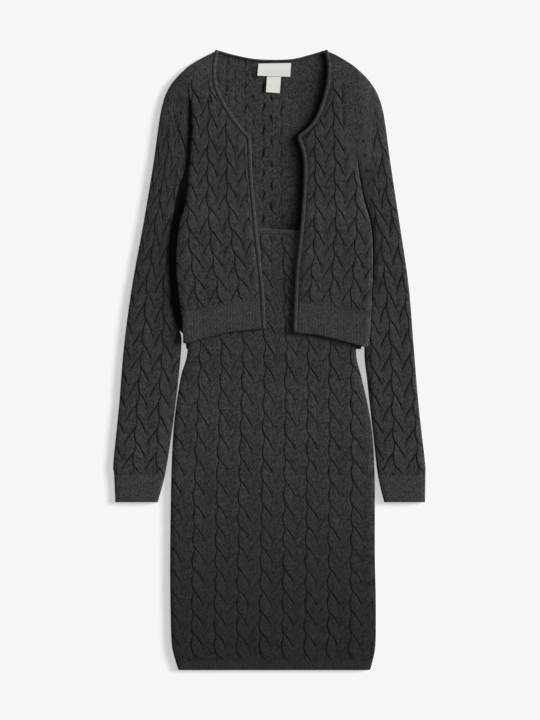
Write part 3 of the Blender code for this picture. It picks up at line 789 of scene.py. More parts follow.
    def open_pinches(self, bm: BMesh) -> None:
        """Removes slivers where the outline touches itself in a point."""
        for _ in range(4):
            pinched = [vert for vert in bm.verts if sum(edge.is_boundary for edge in vert.link_edges) > 2]
            corners = {
                face
                for vert in pinched
                for face in vert.link_faces
                if sum(edge.is_boundary for edge in face.edges) > 1 and face.calc_area() < SLIVER
            }
            bmesh.ops.delete(bm, geom=list(corners), context="FACES")
        self.keep_largest(bm)

    @staticmethod
    def keep_largest(bm: BMesh) -> None:
        """Removes loose bits, so that one sheet is left."""
        left = set(bm.verts)
        islands = []
        while left:
            todo, island = [left.pop()], []
            while todo:
                vert = todo.pop()
                island.append(vert)
                for edge in vert.link_edges:
                    other = edge.other_vert(vert)
                    if other in left:
                        left.remove(other)
                        todo.append(other)
            islands.append(island)
        islands.sort(key=len)
        for island in islands[:-1]:
            bmesh.ops.delete(bm, geom=island, context="VERTS")
        bmesh.ops.delete(bm, geom=[vert for vert in bm.verts if not vert.link_faces], context="VERTS")

    def add_rim(self, bm: BMesh, side: Any) -> BMesh:
        """Rounds the edge over, takes it down to the underside and closes that.

        Args:
            bm: The upper side as an open mesh.
            side: The layer that holds each edge vertex's outward direction.

        Returns:
            The closed mesh, in place of bm.
        """
        edges = [edge for edge in bm.edges if edge.is_boundary]
        for edge in edges:
            edge.smooth = any(vert[side].length > 0.3 for vert in edge.verts)
        tops = {vert for edge in edges for vert in edge.verts}
        start = {vert: (vert.co.copy(), vert[side].copy()) for vert in tops}
        known = {tuple(vert.co): vert for vert in tops}
        first = {vert: vert for vert in tops}
        relief = bm.verts.layers.float["relief"]
        for angle in (*RIM_ANGLES, None):
            new = bmesh.ops.extrude_edge_only(bm, edges=edges)["geom"]
            verts = [item for item in new if isinstance(item, bmesh.types.BMVert)]
            edges = [item for item in new if isinstance(item, bmesh.types.BMEdge) and item.is_boundary]
            first = {vert: first[known[tuple(vert.co)]] for vert in verts}
            for vert in verts:
                top, away = start[first[vert]]
                share, z = 1.0, float(self.base(np.array(top.y)))
                if angle is None:
                    vert[relief] = 1.0
                else:
                    # At least 0.6 mm down, but no more than four fifths of the wall.
                    drop = min(max(away.length, 0.6), max(top.z - z, 0.2) * 0.8)
                    turn = math.radians(angle)
                    share, z = math.sin(turn), top.z - drop * (1 - math.cos(turn))
                vert.co = (top.x + away.x * share, top.y + away.y * share, z)
            known = {tuple(vert.co): vert for vert in verts}
        bm.verts.index_update()
        return self.close_best(bm, [(vert.index, *start[first[vert]]) for vert in known.values()])

    def close_best(self, bm: BMesh, ring: list[tuple]) -> BMesh:
        """Draws in the rim's foot and closes the underside, in the way that leaves the fewest gaps.

        Args:
            bm: The mesh, open below.
            ring: Index of each vertex of the foot, the place it came from and its outward direction.

        Returns:
            The closed mesh, in place of bm.
        """
        trials = []
        for share, weld in FOOTS:
            trial = bm.copy()
            trial.verts.ensure_lookup_table()
            foot = [trial.verts[n] for n, _, _ in ring]
            for vert, (_, top, away) in zip(foot, ring):
                vert.co.xy = (top.x + away.x * share, top.y + away.y * share)
            bmesh.ops.remove_doubles(trial, verts=foot, dist=weld)
            self.close_under(trial, [edge for edge in trial.edges if edge.is_boundary])
            gaps = sum(len(edge.link_faces) != 2 for edge in trial.edges)
            trials.append((gaps, len(trials), trial))
            if gaps == 0:
                break
        best = min(trials)[2]
        for mesh in [bm, *(trial for _, _, trial in trials if trial is not best)]:
            mesh.free()
        return best

    def close_under(self, bm: BMesh, edges: list) -> None:
        """Fills the underside, in one flat face between each two bends of its height."""
        verts = list({vert for edge in edges for vert in edge.verts})
        ties = []
        for y, _ in self.under if len(self.under) > 1 else ():
            middle = sum(vert.co.x for vert in verts) / len(verts)
            pair = []
            for sign in (-1, 1):
                near = [vert for vert in verts if sign * (vert.co.x - middle) > 0]
                pair.append(min(near, key=lambda vert: abs(vert.co.y - y)))
            if bm.edges.get(pair) is None and abs(pair[0].co.y - y) < 4.0:
                ties.append(bm.edges.new(pair))
        bmesh.ops.triangle_fill(bm, edges=edges + ties, use_beauty=True, use_dissolve=False)


@dataclass
class Grid:
    """The upper side of a panel as a grid of rows and columns.

    Attributes:
        x: Places across, in mm.
        y: Places along, in mm.
        z: Heights, in mm.
        column: Stitch coordinate across, in columns of cable.
        row: Stitch coordinate along, in repeats.
        relief: 0 deep between two strands to 1 where all light gets to.
        cable: True where the stitches follow the strands of a cable.
        pitch: Width of one column and height of one repeat, in mm.
    """

    x: Array
    y: Array
    z: Array
    column: Array
    row: Array
    relief: Array
    cable: bool = False
    pitch: tuple[float, float] = (1.0, 1.0)

    def gather(self, line: tuple, inside: Array) -> tuple[int, int]:
        """Gathers the outer ends of one row or column where it crosses the edge.

        Args:
            line: Index of the row or column.
            inside: How far inside the edge each of its points is, below 0 outside.

        Returns:
            The first and last point inside; the first is past the last where there is none, and
            the line is then left as it is.
        """
        within = np.nonzero(inside > 0)[0]
        arrays = (self.x, self.y, self.z, self.column, self.row, self.relief)
        if len(within) == 0:
            return len(inside), len(inside)
        first, last = int(within[0]), int(within[-1])
        for at, step, rest in ((first, -1, slice(0, first)), (last, 1, slice(last + 1, None))):
            if not 0 <= at + step < len(inside):
                continue
            share = inside[at] / (inside[at] - inside[at + step])
            for array in arrays:
                run = array[line]
                run[rest] = run[at] + share * (run[at + step] - run[at])
        return first, last


def finish_piece(
    panel: Panel,
    bm: BMesh,
    finishes: Finishes,
    cable: bool = False,
    pitch: tuple[float, float] = (1.0, 1.0),
) -> Object:
    """Turns a bmesh in mm into a finished piece with its stitch map.

    Args:
        panel: The panel with its node and kind.
        bm: Its mesh, in mm.
        finishes: The material of each slot.
        cable: True where the stitches follow the strands of a cable.
        pitch: Width of one column and height of one repeat, in mm.

    Returns:
        The object.
    """
    mesh = to_mesh(f"{panel.node}_{panel.kind}", bm)
    stitch_map(mesh, cable, pitch)
    # Painted shade: this attribute darkens the knit between two heights, towards the hem.
    if panel.hem_shade:
        high, low = panel.hem_shade
        heights = np.array([vert.co.y for vert in mesh.vertices]) / MM
        share = ease((high - heights) / (high - low)).astype(np.float32)
        mesh.attributes.new("hem_shade", "FLOAT", "POINT").data.foreach_set("value", share)
    for layer in ("outward", "column", "row"):
        if layer in mesh.attributes:
            mesh.attributes.remove(mesh.attributes[layer])
    return place_piece(mesh, panel.node, Slot.BODY if panel.kind == "knit" else Slot.RIB, finishes)


def to_mesh(name: str, bm: BMesh) -> bpy.types.Mesh:
    """Turns a bmesh in mm into a mesh in metres, shaded smooth but for its corners."""
    bmesh.ops.scale(bm, vec=(MM, MM, MM), verts=bm.verts)
    bmesh.ops.recalc_face_normals(bm, faces=bm.faces)
    if bm.calc_volume(signed=True) < 0:
        bmesh.ops.reverse_faces(bm, faces=bm.faces)
    for face in bm.faces:
        face.smooth = True
    for edge in bm.edges:
        edge.smooth = edge.smooth and edge.calc_face_angle(0.0) < SHARP
    mesh = bpy.data.meshes.new(name)
    bm.to_mesh(mesh)
    bm.free()
    return mesh


def place_piece(mesh: bpy.types.Mesh, node: str, slot: Slot, finishes: Finishes) -> Object:
    """Links a finished mesh under its own name, attaches it to its body, gives it its slot's material and
    hides the CAD node.

    Args:
        mesh: The finished mesh, in metres.
        node: CAD node that it replaces.
        slot: Material slot of the record.
        finishes: The material of each slot.

    Returns:
        The object.
    """
    mesh.materials.append(finishes[slot])
    piece = add_object(mesh.name, mesh)
    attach(piece, "root")
    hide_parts(node)
    LOG.info("%s: %d triangles", piece.name, sum(len(face.vertices) - 2 for face in mesh.polygons))
    return piece


def thicken(piece: Object, wall: float, offset: float) -> None:
    """Gives an open mesh a wall of so many mm, about it at an offset of 0 or inside it at -1."""
    modifier = piece.modifiers.new("wall", "SOLIDIFY")
    modifier.thickness = wall * MM
    modifier.offset = offset


def stitch_map(mesh: bpy.types.Mesh, cable: bool, pitch: tuple[float, float]) -> None:
    """Writes the UV map "strand": millimetres across and along the run of the stitches.

    On a cable the stitches run down each lobe. Each lobe is moved on the map, so that no two of
    them show the same stitches.

    Args:
        mesh: The mesh, with the attributes "column" and "row" on its vertices.
        cable: True where the stitches follow the strands of a cable.
        pitch: Width of one column and height of one repeat, in mm.
    """
    count = len(mesh.vertices)
    column, row = np.empty(count, np.float32), np.empty(count, np.float32)
    mesh.attributes["column"].data.foreach_get("value", column)
    mesh.attributes["row"].data.foreach_get("value", row)
    loops = np.empty(len(mesh.loops), np.int32)
    mesh.loops.foreach_get("vertex_index", loops)
    sizes = np.empty(len(mesh.polygons), np.int32)
    mesh.polygons.foreach_get("loop_total", sizes)
    starts = np.concatenate([[0], np.cumsum(sizes)[:-1]])
    wide, tall = pitch
    if cable:
        middle = np.add.reduceat(column[loops], starts) / sizes
        number = np.repeat(np.floor(middle), sizes)
        right = np.repeat((middle - np.floor(middle)) > 0.5, sizes)
        s = column[loops] - number
        u = np.where(right, 2 - 2 * s, 2 * s)
        along = np.where(right, -1, 1) * u * math.hypot(0.5 * wide, SKIRT_PLAIT.slant * tall)
        across = row[loops] * tall * MAP_SCALE + MAP_SHIFT[0] * number + MAP_SHIFT[1] * right
    else:
        across, along = column[loops] * wide, row[loops] * tall
    flat = np.column_stack([across, along]).astype(np.float32).ravel()
    mesh.uv_layers.new(name="strand").data.foreach_set("uv", flat)


def strip_mesh(wide: int, tall: int, place: Callable[[int, int], tuple]) -> BMesh:
    """Makes the mesh of a narrow strip as a grid.

    Args:
        wide: Steps across.
        tall: Steps along.
        place: Function of a step across and a step along that gives the place in mm, and the
            column, row and relief there.

    Returns:
        The mesh.
    """
    bm = bmesh.new()
    bmesh.ops.create_grid(bm, x_segments=wide, y_segments=tall, size=1.0)
    layers = [bm.verts.layers.float.new(name) for name in LAYERS]
    for vert in bm.verts:
        vert.co, values = place(round((vert.co.x + 1) / 2 * wide), round((vert.co.y + 1) / 2 * tall))
        for layer, value in zip(layers, values):
            vert[layer] = value
    return bm


def finish_strip(node: str, kind: str, bm: BMesh, finishes: Finishes) -> Object:
    """Turns the mesh of a strip into a finished piece."""
    edge = level(0.0)
    return finish_piece(Panel(node, kind, Cut(edge, edge, edge, edge), rounded(0, 0, 0, 0)), bm, finishes)


def cable_grid(
    lay: Lay, columns: tuple[int, int], rows: tuple[int, int], panel: Panel, rise: Callable
) -> Grid:
    """Makes the upper side of a cable-knit panel.

    Args:
        lay: How the cables run.
        columns: First and last column of the grid.
        rows: First and last repeat.
        panel: The panel, for its cut and underside.
        rise: Share of the cables' height at x and y; the rest is plain knit.

    Returns:
        The grid.
    """
    plait = lay.plait
    half = plait.across() / 2
    one = np.concatenate([half, 0.5, 1 - half[:0:-1]], axis=None)
    column = np.concatenate([c + one for c in range(*columns)] + [[columns[1]]])
    step = plait.down()
    row = np.concatenate([r + np.concatenate([step, 0.5 + step]) for r in range(*rows)] + [[rows[1]]])
    column, row = np.meshgrid(column, row)
    s = column - np.floor(column)
    right = s > 0.5
    u = 1 - 2 * np.abs(s - 0.5)
    swing = plait.meander * np.cos(math.tau * (row - 0.25)) * (1 - u) ** 2
    swing -= plait.zigzag * np.sin(math.tau * row) * u**2
    slip = ease((lay.start - lay.along(row)) / 45.0)
    x, y = lay.place(column + swing * slip, row + plait.lag(u) * slip)
    # The strands wander a little, by less than a mm, and aren't equally thick.
    x = x + 0.7 * wobble(x, y, 3.0, 70.0)
    y = y + 0.9 * wobble(x, y, 5.0, 80.0)
    share = rise(x, y)
    lift = 1 + 0.05 * wobble(x, y, 8.0, 30.0)
    knit = plait.height(u, row, right) * share * lift + FILL * (1 - share)
    z = panel.base(y) + panel.wall + CABLE * knit * panel.body(x, y) + sag(x, y)
    table = np.array(lay.columns)
    repeats = np.array(lay.repeats)
    tall = abs(repeats[-1, 1] - repeats[0, 1]) / (repeats[-1, 0] - repeats[0, 0])
    pitch = np.interp(y, table[::-1, 0], table[::-1, 2])
    # Painted shade along the grooves and the notches.
    open_to_light = 1 - plait.shade(u, row, right, pitch) * share
    return Grid(x, y, z, column, row, open_to_light, True, (float(table[:, 2].mean()), float(tall)))


def ruler(low: float, high: float, step: float, fine: tuple[float, float] | None = None) -> Array:
    """Places from low to high in even steps, a third as long between the two places of fine."""
    if fine is None:
        return np.linspace(low, high, max(2, round((high - low) / step) + 1))
    parts = (ruler(low, fine[0], step), ruler(*fine, step / 3)[1:], ruler(fine[1], high, step)[1:])
    return np.concatenate(parts)


def jersey_grid(panel: Panel, xs: Array, ys: Array, height: Callable, thin: float = 0.0) -> Grid:
    """Makes the upper side of a plain or ribbed panel on a square grid.

    Args:
        panel: The panel, for its underside and rim.
        xs: Places across, rising, in mm.
        ys: Places along, rising.
        height: Function of x and y that gives height over the underside and relief, 0 to 1.
        thin: How much thinner the panel gets towards a rounded side, in mm.

    Returns:
        The grid.
    """
    x, y = np.meshgrid(xs, ys[::-1])
    rise, relief = height(x, y)
    rise = rise - thin * (1 - panel.body(x, y)) + sag(x, y)
    return Grid(x, y, panel.base(y) + rise, x.copy(), y.copy(), relief)


def plain(wall: float) -> Callable:
    """Upper side of plain jersey at one height."""
    return lambda x, y: (np.full_like(x, wall), np.ones_like(x))


def ribbed(wall: float, pitch: float) -> Callable:
    """Upper side with ribs along y.

    Args:
        wall: Height of a rib's crest.
        pitch: Distance between two ribs.

    Returns:
        A function of x and y that gives height and relief.
    """

    def height(x: Array, y: Array) -> tuple[Array, Array]:
        """Height and relief at x and y."""
        wave = 0.5 + 0.5 * np.cos(math.tau * (x + 0.4 * wobble(x, y, 6.0, 40.0)) / pitch)
        relief = np.sqrt(wave)
        # Painted shade: a rib's colour is a little darker in the furrows.
        return wall - FURROW * (1 - relief), 0.9 + 0.1 * relief

    return height


@dataclass(frozen=True)
class Purl:
    """Inside of the cable knit: shallow grooves between the columns and a pit at each crossing.

    Its colour is darkened by painted shade in the slits at the armholes and under the right front, whose
    edge stands off.

    Attributes:
        origin: Place of one groove across and of one of its pits along.
        pitch: Width of a column and height of a repeat.
        sway: How far a groove swings to a side.
        second: Place of the pits between two grooves, as a share of the column.
        groove: Half the width of a groove.
        pit: Half the width and half the height of a pit.
        bend: How much a pit curves, and how far that moves it to a side.
        fade: Place from which the grooves get faint to the right, and over what distance.
        clear: Place across where the pits show best, and half the width of that zone.
        slit: Middle between the slits, distance to each and the distance over which the painted shade sets
            in.
        lit: Height from which the painted shade in a slit gets lighter, and over what distance.
        shade: Width of the painted shade under the right front, and the distance over which it ends.
    """

    origin: tuple[float, float] = (-10.4, 473.0)
    pitch: tuple[float, float] = (29.0, 35.2)
    sway: float = 1.2
    second: float = 0.44
    groove: float = 1.3
    pit: tuple[float, float] = (1.45, 6.5)
    bend: tuple[float, float] = (0.04, 1.0)
    fade: tuple[float, float] = (16.0, 14.0)
    clear: tuple[float, float] = (-4.0, 16.0)
    slit: tuple[float, float, float] = (5.0, 112.0, 8.0)
    lit: tuple[float, float] = (255.0, 30.0)
    shade: tuple[float, float] = (4.0, 8.0)

    def pits(self, x: Array, y: Array) -> tuple[Array, Array]:
        """The grooves and the pits at x and y, each from 0 to about 1."""
        wide, tall = self.pitch
        place = (x - self.origin[0] + self.sway * np.sin(math.tau * y / tall)) / wide
        near = (place - np.round(place)) * wide
        far = (place - self.second - np.round(place - self.second)) * wide
        turn = (y - self.origin[1]) / tall + 0.12 * wobble(x, y, 2.0, 45.0)
        step, half = ((turn - shift - np.round(turn - shift)) * tall for shift in (0.0, 0.5))
        fade = 1 - 0.8 * ease((x - self.fade[0]) / self.fade[1])
        groove = np.exp(-((near / self.groove) ** 2)) * fade
        bend, off = self.bend
        near, far = near + bend * step**2 - off, far - bend * half**2 + off
        pit = np.zeros_like(x)
        for side, along in ((near, step), (far, half)):
            pit += np.exp(-((side / self.pit[0]) ** 2) - (along / self.pit[1]) ** 2)
        best = np.exp(-(((x - self.clear[0]) / self.clear[1]) ** 2))
        return groove, pit * (fade * (0.65 + 0.9 * best + 0.25 * wobble(x, y, 9.0, 50.0)))

    def height(self, x: Array, y: Array) -> tuple[Array, Array]:
        """Height and relief at x and y."""
        groove, pit = self.pits(x, y)
        lump = 0.16 * wobble(x, y, 4.0, 10.0)
        edge = by_height(RIGHT.opening_run())(y) - x
        middle, far, blur = self.slit
        slit = ease((np.abs(x - middle) - far) / blur) * (1 - 0.45 * ease((y - self.lit[0]) / self.lit[1]))
        deep = np.maximum(1 - ease((edge - self.shade[0]) / self.shade[1]), slit)
        # Painted shade: the colour gets darker in the grooves and pits, and nearly black in the slits and
        # under the right front's edge.
        light = (1 - 0.25 * groove) * (1 - 0.95 * np.clip(1.4 * pit, 0.0, 1.0)) * (1 - deep)
        return UNDER - 0.15 - 0.25 * groove - pit + lump, light


def ending(cut: Cut, top: float, bottom: float) -> Callable:
    """Share of the cables, which fade into plain knit over the last mm before an edge."""
    return lambda x, y: ease((cut.top(x) - y) / top) * ease((y - cut.bottom(x)) / bottom)


# ---- garments ----


def beside(run: Array, distance: float) -> Array:
    """Moves a line sideways, to the left of its direction when distance is above 0."""
    lean = np.diff(run, axis=0)
    lean /= np.maximum(np.hypot(lean[:, 0], lean[:, 1]), 1e-9)[:, None]
    normal = np.column_stack([-lean[:, 1], lean[:, 0]])
    one, two = np.vstack([normal[:1], normal]), np.vstack([normal, normal[-1:]])
    reach = distance / (1 + (one * two).sum(axis=1))
    return run + (one + two) * reach[:, None]


@dataclass
class Dress:
    """Strap dress: a straight neckline, nine cables across the skirt and a narrow ribbed hem.

    Attributes:
        sides: Rows of y, left and right edge, from the neckline down.
        lay: How the cables run.
        drop: Heights between which the dress comes down off the bolero's back.
        neck: The two ends of the neckline.
        back_drop: How much lower the back neckline lies.
        trim: Height of the rolled trim on the neckline.
        hem_top: Top of the hem band.
        hem: Foot of the hem band.
        strap_x: Middle of each strap.
        strap_top: Height of the straps' fold at the shoulder.
        hem_shade: Heights between which painted shade darkens the knit towards the hem.
    """

    sides: Rows = (
        (216.0, -132.0, 146.5), (111.5, -129.0, 141.5), (15.5, -131.0, 138.5), (-24.5, -141.5, 146.5),
        (-72.5, -149.5, 157.5), (-120.5, -154.5, 165.0), (-192.5, -157.5, 168.6), (-310.0, -159.2, 168.9),
        (-384.5, -158.9, 170.4), (-448.5, -157.2, 170.2), (-472.5, -153.3, 167.6), (-497.0, -146.0, 161.5),
    )
    lay: Lay = Lay(
        columns=(
            (201.0, 3.0, 35.5), (15.5, 9.5, 34.5), (-199.0, 5.5, 36.0),
            (-448.5, 2.0, 36.3), (-497.0, 1.0, 34.8),
        ),
        repeats=((0.0, 211.9), (12.0, -233.3), (20.0, -506.9)),
    )
    drop: tuple[float, float] = (7.86, -29.24)
    neck: Points = ((-132.0, 216.0), (146.5, 202.0))
    back_drop: float = 8.0
    trim: float = 8.5
    hem_top: float = -482.0
    hem: float = -497.0
    strap_x: tuple[float, float] = (-107.0, 114.0)
    strap_top: float = 451.0
    hem_shade: tuple[float, float] = (-40.0, -497.0)

    def edges(self) -> tuple[EdgeLine, EdgeLine]:
        """The left and right side edges."""
        left = spline(tuple((row[1], row[0]) for row in self.sides))
        right = spline(tuple((row[2], row[0]) for row in self.sides))
        return by_height(left), by_height(right)

    def neckline(self, drop: float) -> EdgeLine:
        """The neckline, moved down by drop."""
        (x0, y0), (x1, y1) = self.neck
        return lambda x: y0 - drop + (x - x0) * (y1 - y0) / (x1 - x0)

    def build(self, finishes: Finishes) -> None:
        """Builds the dress's panels, trims, bands and straps, in the material of each slot."""
        left, right = self.edges()
        across = (-160.0, 173.0)
        high = ((self.drop[0], ON_TWO), (self.drop[1], ON_ONE))
        low = ((self.drop[0], ON_ONE), (self.drop[1], FLOOR))
        foot = level(self.hem_top + JOIN)
        cut = Cut(left, right, self.neckline(self.trim + JOIN), foot)
        front = Panel("dress_front", "knit", cut, rounded(2.2, 2.2, 0.8, 0.0), high, hem_shade=self.hem_shade)
        grid = cable_grid(self.lay, (-5, 6), (-1, 20), front, ending(cut, 4.0, 9.0))
        front.build(grid, finishes, "dress_back_knit")

        cut = Cut(left, right, self.neckline(self.trim + SEAM + self.back_drop), foot)
        back = Panel("dress_back", "knit", cut, rounded(1.2, 1.2, 0.8, 0.0), low, hem_shade=self.hem_shade)
        grid = jersey_grid(back, ruler(*across, 5.0), ruler(self.hem_top, 208.0, 5.0), plain(BACK))
        back.build(grid, finishes, "bolero_back_knit")

        rim = rounded(1.2, 1.2, 2.4, 1.4)
        for name, base, drop, wall, under in (
            ("front", ON_TWO, 0.0, RIB, "dress_neck_trim_back_roll"),
            ("back", ON_ONE, self.back_drop, BACK, "bolero_back_knit"),
        ):
            cut = Cut(left, right, self.neckline(drop), self.neckline(drop + self.trim))
            trim = Panel(f"dress_neck_trim_{name}", "roll", cut, rim, ((0.0, base),))
            grid = jersey_grid(trim, ruler(-135.0, 150.0, 2.0), ruler(180.0, 218.0, 2.0), plain(wall))
            trim.build(grid, finishes, under)

        cut = Cut(left, right, level(self.hem_top), level(self.hem))
        rim = rounded(2.2, 2.2, 0.0, 1.8)
        ys = ruler(self.hem - 1, self.hem_top + 1, 1.2)
        for name, base, wall, thin, under in (
            ("front", ON_ONE, RIB, CABLE * FILL, "dress_hem_back_band"),
            ("back", FLOOR, BACK, 0.0, "floor"),
        ):
            band = Panel(f"dress_hem_{name}", "band", cut, rim, ((0.0, base),), hem_shade=self.hem_shade)
            grid = jersey_grid(band, ruler(*across, 1.2), ys, ribbed(wall, 3.6), thin)
            band.build(grid, finishes, under)
        for name, x in zip(("strap_left", "strap_right"), self.strap_x):
            self.build_strap(name, x, finishes)

    def build_strap(self, node: str, x: float, finishes: Finishes) -> None:
        """Builds one strap: a flat band from the back neckline, folded at the shoulder, to the front.

        Args:
            node: CAD node that it replaces.
            x: Its middle.
            finishes: The material of each slot.
        """
        front = float(self.neckline(0.0)(x)) + 1.0
        top, low, high = self.strap_top - 0.8, ON_ONE + 0.75, ON_TWO - SEAM - 0.75
        fold = ((front - self.back_drop, low), (top - 0.8, low), (top, (low + high) / 2), (top - 0.8, high))
        line = np.array([*fold, (front + 30.0, high), (front, ON_TWO + 0.75)])
        lengths = run_lengths(line)
        wide, steps = 11.6, 4

        def place(step: int, n: int) -> tuple:
            """Place and stitch coordinates on the band."""
            across = x + wide / 2 * (2 * step / steps - 1)
            return (across, *line[n]), (across, lengths[n], 1.0)

        piece = finish_strip(node, "ribbon", strip_mesh(steps, len(line) - 1, place), finishes)
        thicken(piece, 1.1, 0.0)


@dataclass
class Side:
    """One side of the bolero: its front, band, sleeve and cuff.

    Attributes:
        name: "left" or "right".
        sign: -1 on the left, 1 on the right.
        neck: Neck edge from the shoulder down.
        opening: Front edge from the neck's corner down.
        shoulder: Shoulder line from the neck out.
        armhole: Seam to the sleeve.
        side: Side edge from the armhole down.
        back_corner: Last two points of the back's side edge.
        band_top: Top of the hem band.
        band_hem: Foot of the hem band.
        columns: Rows of y, x of the middle column and width of a column on the front.
        outer: Outer edge of the sleeve.
        inner: Inner edge of the sleeve.
        sleeve_columns: The same on the sleeve.
        front_plain: Line between the front's cables and the plain knit at its armhole.
        sleeve_plain: The same on the sleeve.
        creases: Furrows in the front or the sleeve.
        cuff_top: Top of the cuff.
        cuff_end: Its end.
        head: Heights between which the sleeve's cables begin.
        joined: The front and the sleeve are level with each other above this height.
    """

    name: str
    sign: float
    neck: Points
    opening: Points
    shoulder: Points
    armhole: Points
    side: Points
    back_corner: Points
    band_top: Points
    band_hem: Points
    columns: Rows
    outer: Points
    inner: Points
    sleeve_columns: Rows
    front_plain: Points
    sleeve_plain: Points
    creases: tuple[Points, ...]
    cuff_top: float = -184.5
    cuff_end: float = -228.0
    head: tuple[float, float] = (398.0, 345.0)
    joined: float = 425.0

    def opening_run(self) -> Array:
        """The bolero's edge on this side, from the shoulder down to the hem."""
        return np.vstack([spline(self.neck), spline(self.opening)[1:]])

    def back_run(self) -> Array:
        """The back's side edge: it lies against the sleeve and ends in its corner."""
        seam = spline(self.inner) + (self.sign * TUCK, 0.0)
        upper = [point for point in self.armhole if point[1] > seam[0, 1]]
        return np.vstack([*upper, seam[seam[:, 1] > self.back_corner[0][1] + 5.0], self.back_corner])

    def between(self, outer: Any, inner: Any) -> tuple[Any, Any]:
        """The outer and the inner side as left and right."""
        return (outer, inner) if self.sign < 0 else (inner, outer)

    def crease(self, grid: Grid) -> None:
        """Presses the creases into a panel's upper side."""
        for points in self.creases:
            run = spline(points)
            far = (grid.x - by_height(run)(grid.y)) / 1.3
            ends = ease((run[0, 1] - grid.y) / 9.0) * ease((grid.y - run[-1, 1]) / 12.0)
            dent = np.exp(-(far**2)) * ends
            grid.z -= 1.2 * dent
            # Painted shade in the crease.
            grid.relief *= 1 - 0.9 * dent

    def seam_rim(self, low: float, high: float) -> EdgeLine:
        """Radius of an armhole edge: high above the joined height and low below it."""
        return lambda y: high + (low - high) * ease((self.joined - y) / 28.0)

    def build_front(self, under: Points, finishes: Finishes) -> None:
        """Builds the front panel and its hem band.

        Args:
            under: Pairs of y and height of its underside.
            finishes: The material of each slot.
        """
        opening = by_height(beside(self.opening_run(), self.sign * (BINDING + JOIN)))
        outer = by_height(np.array(self.armhole), spline(self.side)[1:])
        left, right = self.between(outer, opening)
        foot = by_width(spline(self.band_top))
        top = by_width(np.array([self.neck[0], *self.shoulder]))
        cut = Cut(left, right, top, lambda x: foot(x) + JOIN)
        rim = rounded(*self.between(self.seam_rim(2.0, 0.15), 0.6), 1.2, 0.0)
        front = Panel(f"bolero_front_{self.name}", "knit", cut, rim, under)
        plain_line, fades = by_height(spline(self.front_plain)), ending(cut, 1.0, 9.0)

        def rise(x: Array, y: Array) -> Array:
            """The cables begin below the shoulder and leave the armhole plain."""
            beside_line = ease(0.5 - self.sign * (x - plain_line(y)) / 6.0)
            hemmed = ease((np.abs(x - opening(y)) - 0.5) / 4.5)
            return ease((452.0 - y) / 22.0) * beside_line * fades(x, y) * hemmed

        lay = Lay(self.columns, ((0.0, 504.7), (12.0, 56.4)), FRONT_PLAIT, 462.0)
        grid = cable_grid(lay, (-4, 5), (-1, 13), front, rise)
        self.crease(grid)
        front.build(grid, finishes, "bolero_back_knit", "dress_front_knit")
        cut = Cut(left, right, foot, by_width(spline(self.band_hem)))
        rim = rounded(*self.between(2.0, 0.6), 0.0, 1.8)
        band = Panel(f"bolero_band_{self.name}", "rib", cut, rim, ((0.0, OVER_DRESS),))
        xs = ruler(-145.0, 0.0, 1.3) if self.sign < 0 else ruler(35.0, 165.0, 1.3)
        grid = jersey_grid(band, xs, ruler(15.0, 101.0, 1.3), ribbed(RIB, 4.4), CABLE * FILL)
        band.build(grid, finishes, "dress_front_knit")

    def build_sleeve(self, front_levels: Points, finishes: Finishes) -> None:
        """Builds the sleeve and its cuff, each a flattened tube.

        Args:
            front_levels: Pairs of y and height of the front's underside.
            finishes: The material of each slot.
        """
        run = spline(self.outer)
        outer = by_height(run)
        seam = [point for point in self.armhole if point[1] > self.inner[0][1]]
        inner = by_height(np.array(seam) + (self.sign * JOIN, 0.0), spline(self.inner))
        left, right = self.between(outer, inner)
        head = by_width(run[run[:, 1] > 402.0])
        cut = Cut(left, right, head, level(self.cuff_top + JOIN))

        def tip(y: Array) -> Array:
            """Radius of the outer edge, small at the tip of the head."""
            return np.clip((run[0, 1] - y) * 0.25, 0.25, 2.6)

        rim = rounded(*self.between(tip, self.seam_rim(2.6, 0.15)), lambda x: tip(head(x)), 0.0)
        ends = (self.cuff_top + JOIN,)
        wall = ON_ONE + WALL
        sleeve = Panel(f"sleeve_{self.name}", "knit", cut, rim, wall=wall, open_ends=ends)
        plain_line, fades = by_height(spline(self.sleeve_plain)), ending(cut, 1.0, 9.0)

        def rise(x: Array, y: Array) -> Array:
            """The cables start below the plain sleeve head and leave the armhole plain."""
            begins = ease((self.head[0] - y) / (self.head[0] - self.head[1]))
            return begins * ease(0.5 + self.sign * (x - plain_line(y)) / 6.0) * fades(x, y)

        repeats = ((-3.0, 481.2), (6.0, 63.6), (12.0, -171.6))
        lay = Lay(self.sleeve_columns, repeats, SLEEVE_PLAIT, 440.0)
        grid = cable_grid(lay, (-3, 5), (-4, 14), sleeve, rise)
        self.crease(grid)
        table = np.array(front_levels)[::-1]
        step = np.interp(grid.y, table[:, 0], table[:, 1]) - ON_ONE
        from_seam = np.abs(grid.x - inner(grid.y))
        level_share = ease((grid.y - self.joined + 28.0) / 28.0)
        grid.z += step * (1 - ease(from_seam / 42.0)) * level_share
        # Painted shade on the sleeve's edge beside the seam, below the joined height, where it lies in the
        # slit beside the front.
        grid.relief *= 1 - 0.6 * (1 - level_share) * (1 - ease((from_seam - 1.0) / 4.0))
        sleeve.build(grid, finishes, "floor")
        ends = (self.cuff_top, self.cuff_end)
        cut = Cut(left, right, *(level(end) for end in ends))
        wall = ON_ONE + RIB
        cuff = Panel(f"cuff_{self.name}", "rib", cut, rounded(2.6, 2.6, 0.0, 0.0), wall=wall, open_ends=ends)
        xs = ruler(-253.0, -165.0, 1.2) if self.sign < 0 else ruler(170.0, 253.0, 1.2)
        ys = ruler(self.cuff_end - 1, self.cuff_top + 1, 1.2)
        grid = jersey_grid(cuff, xs, ys, ribbed(wall, 3.8), CABLE * FILL)
        cuff.build(grid, finishes, "floor")


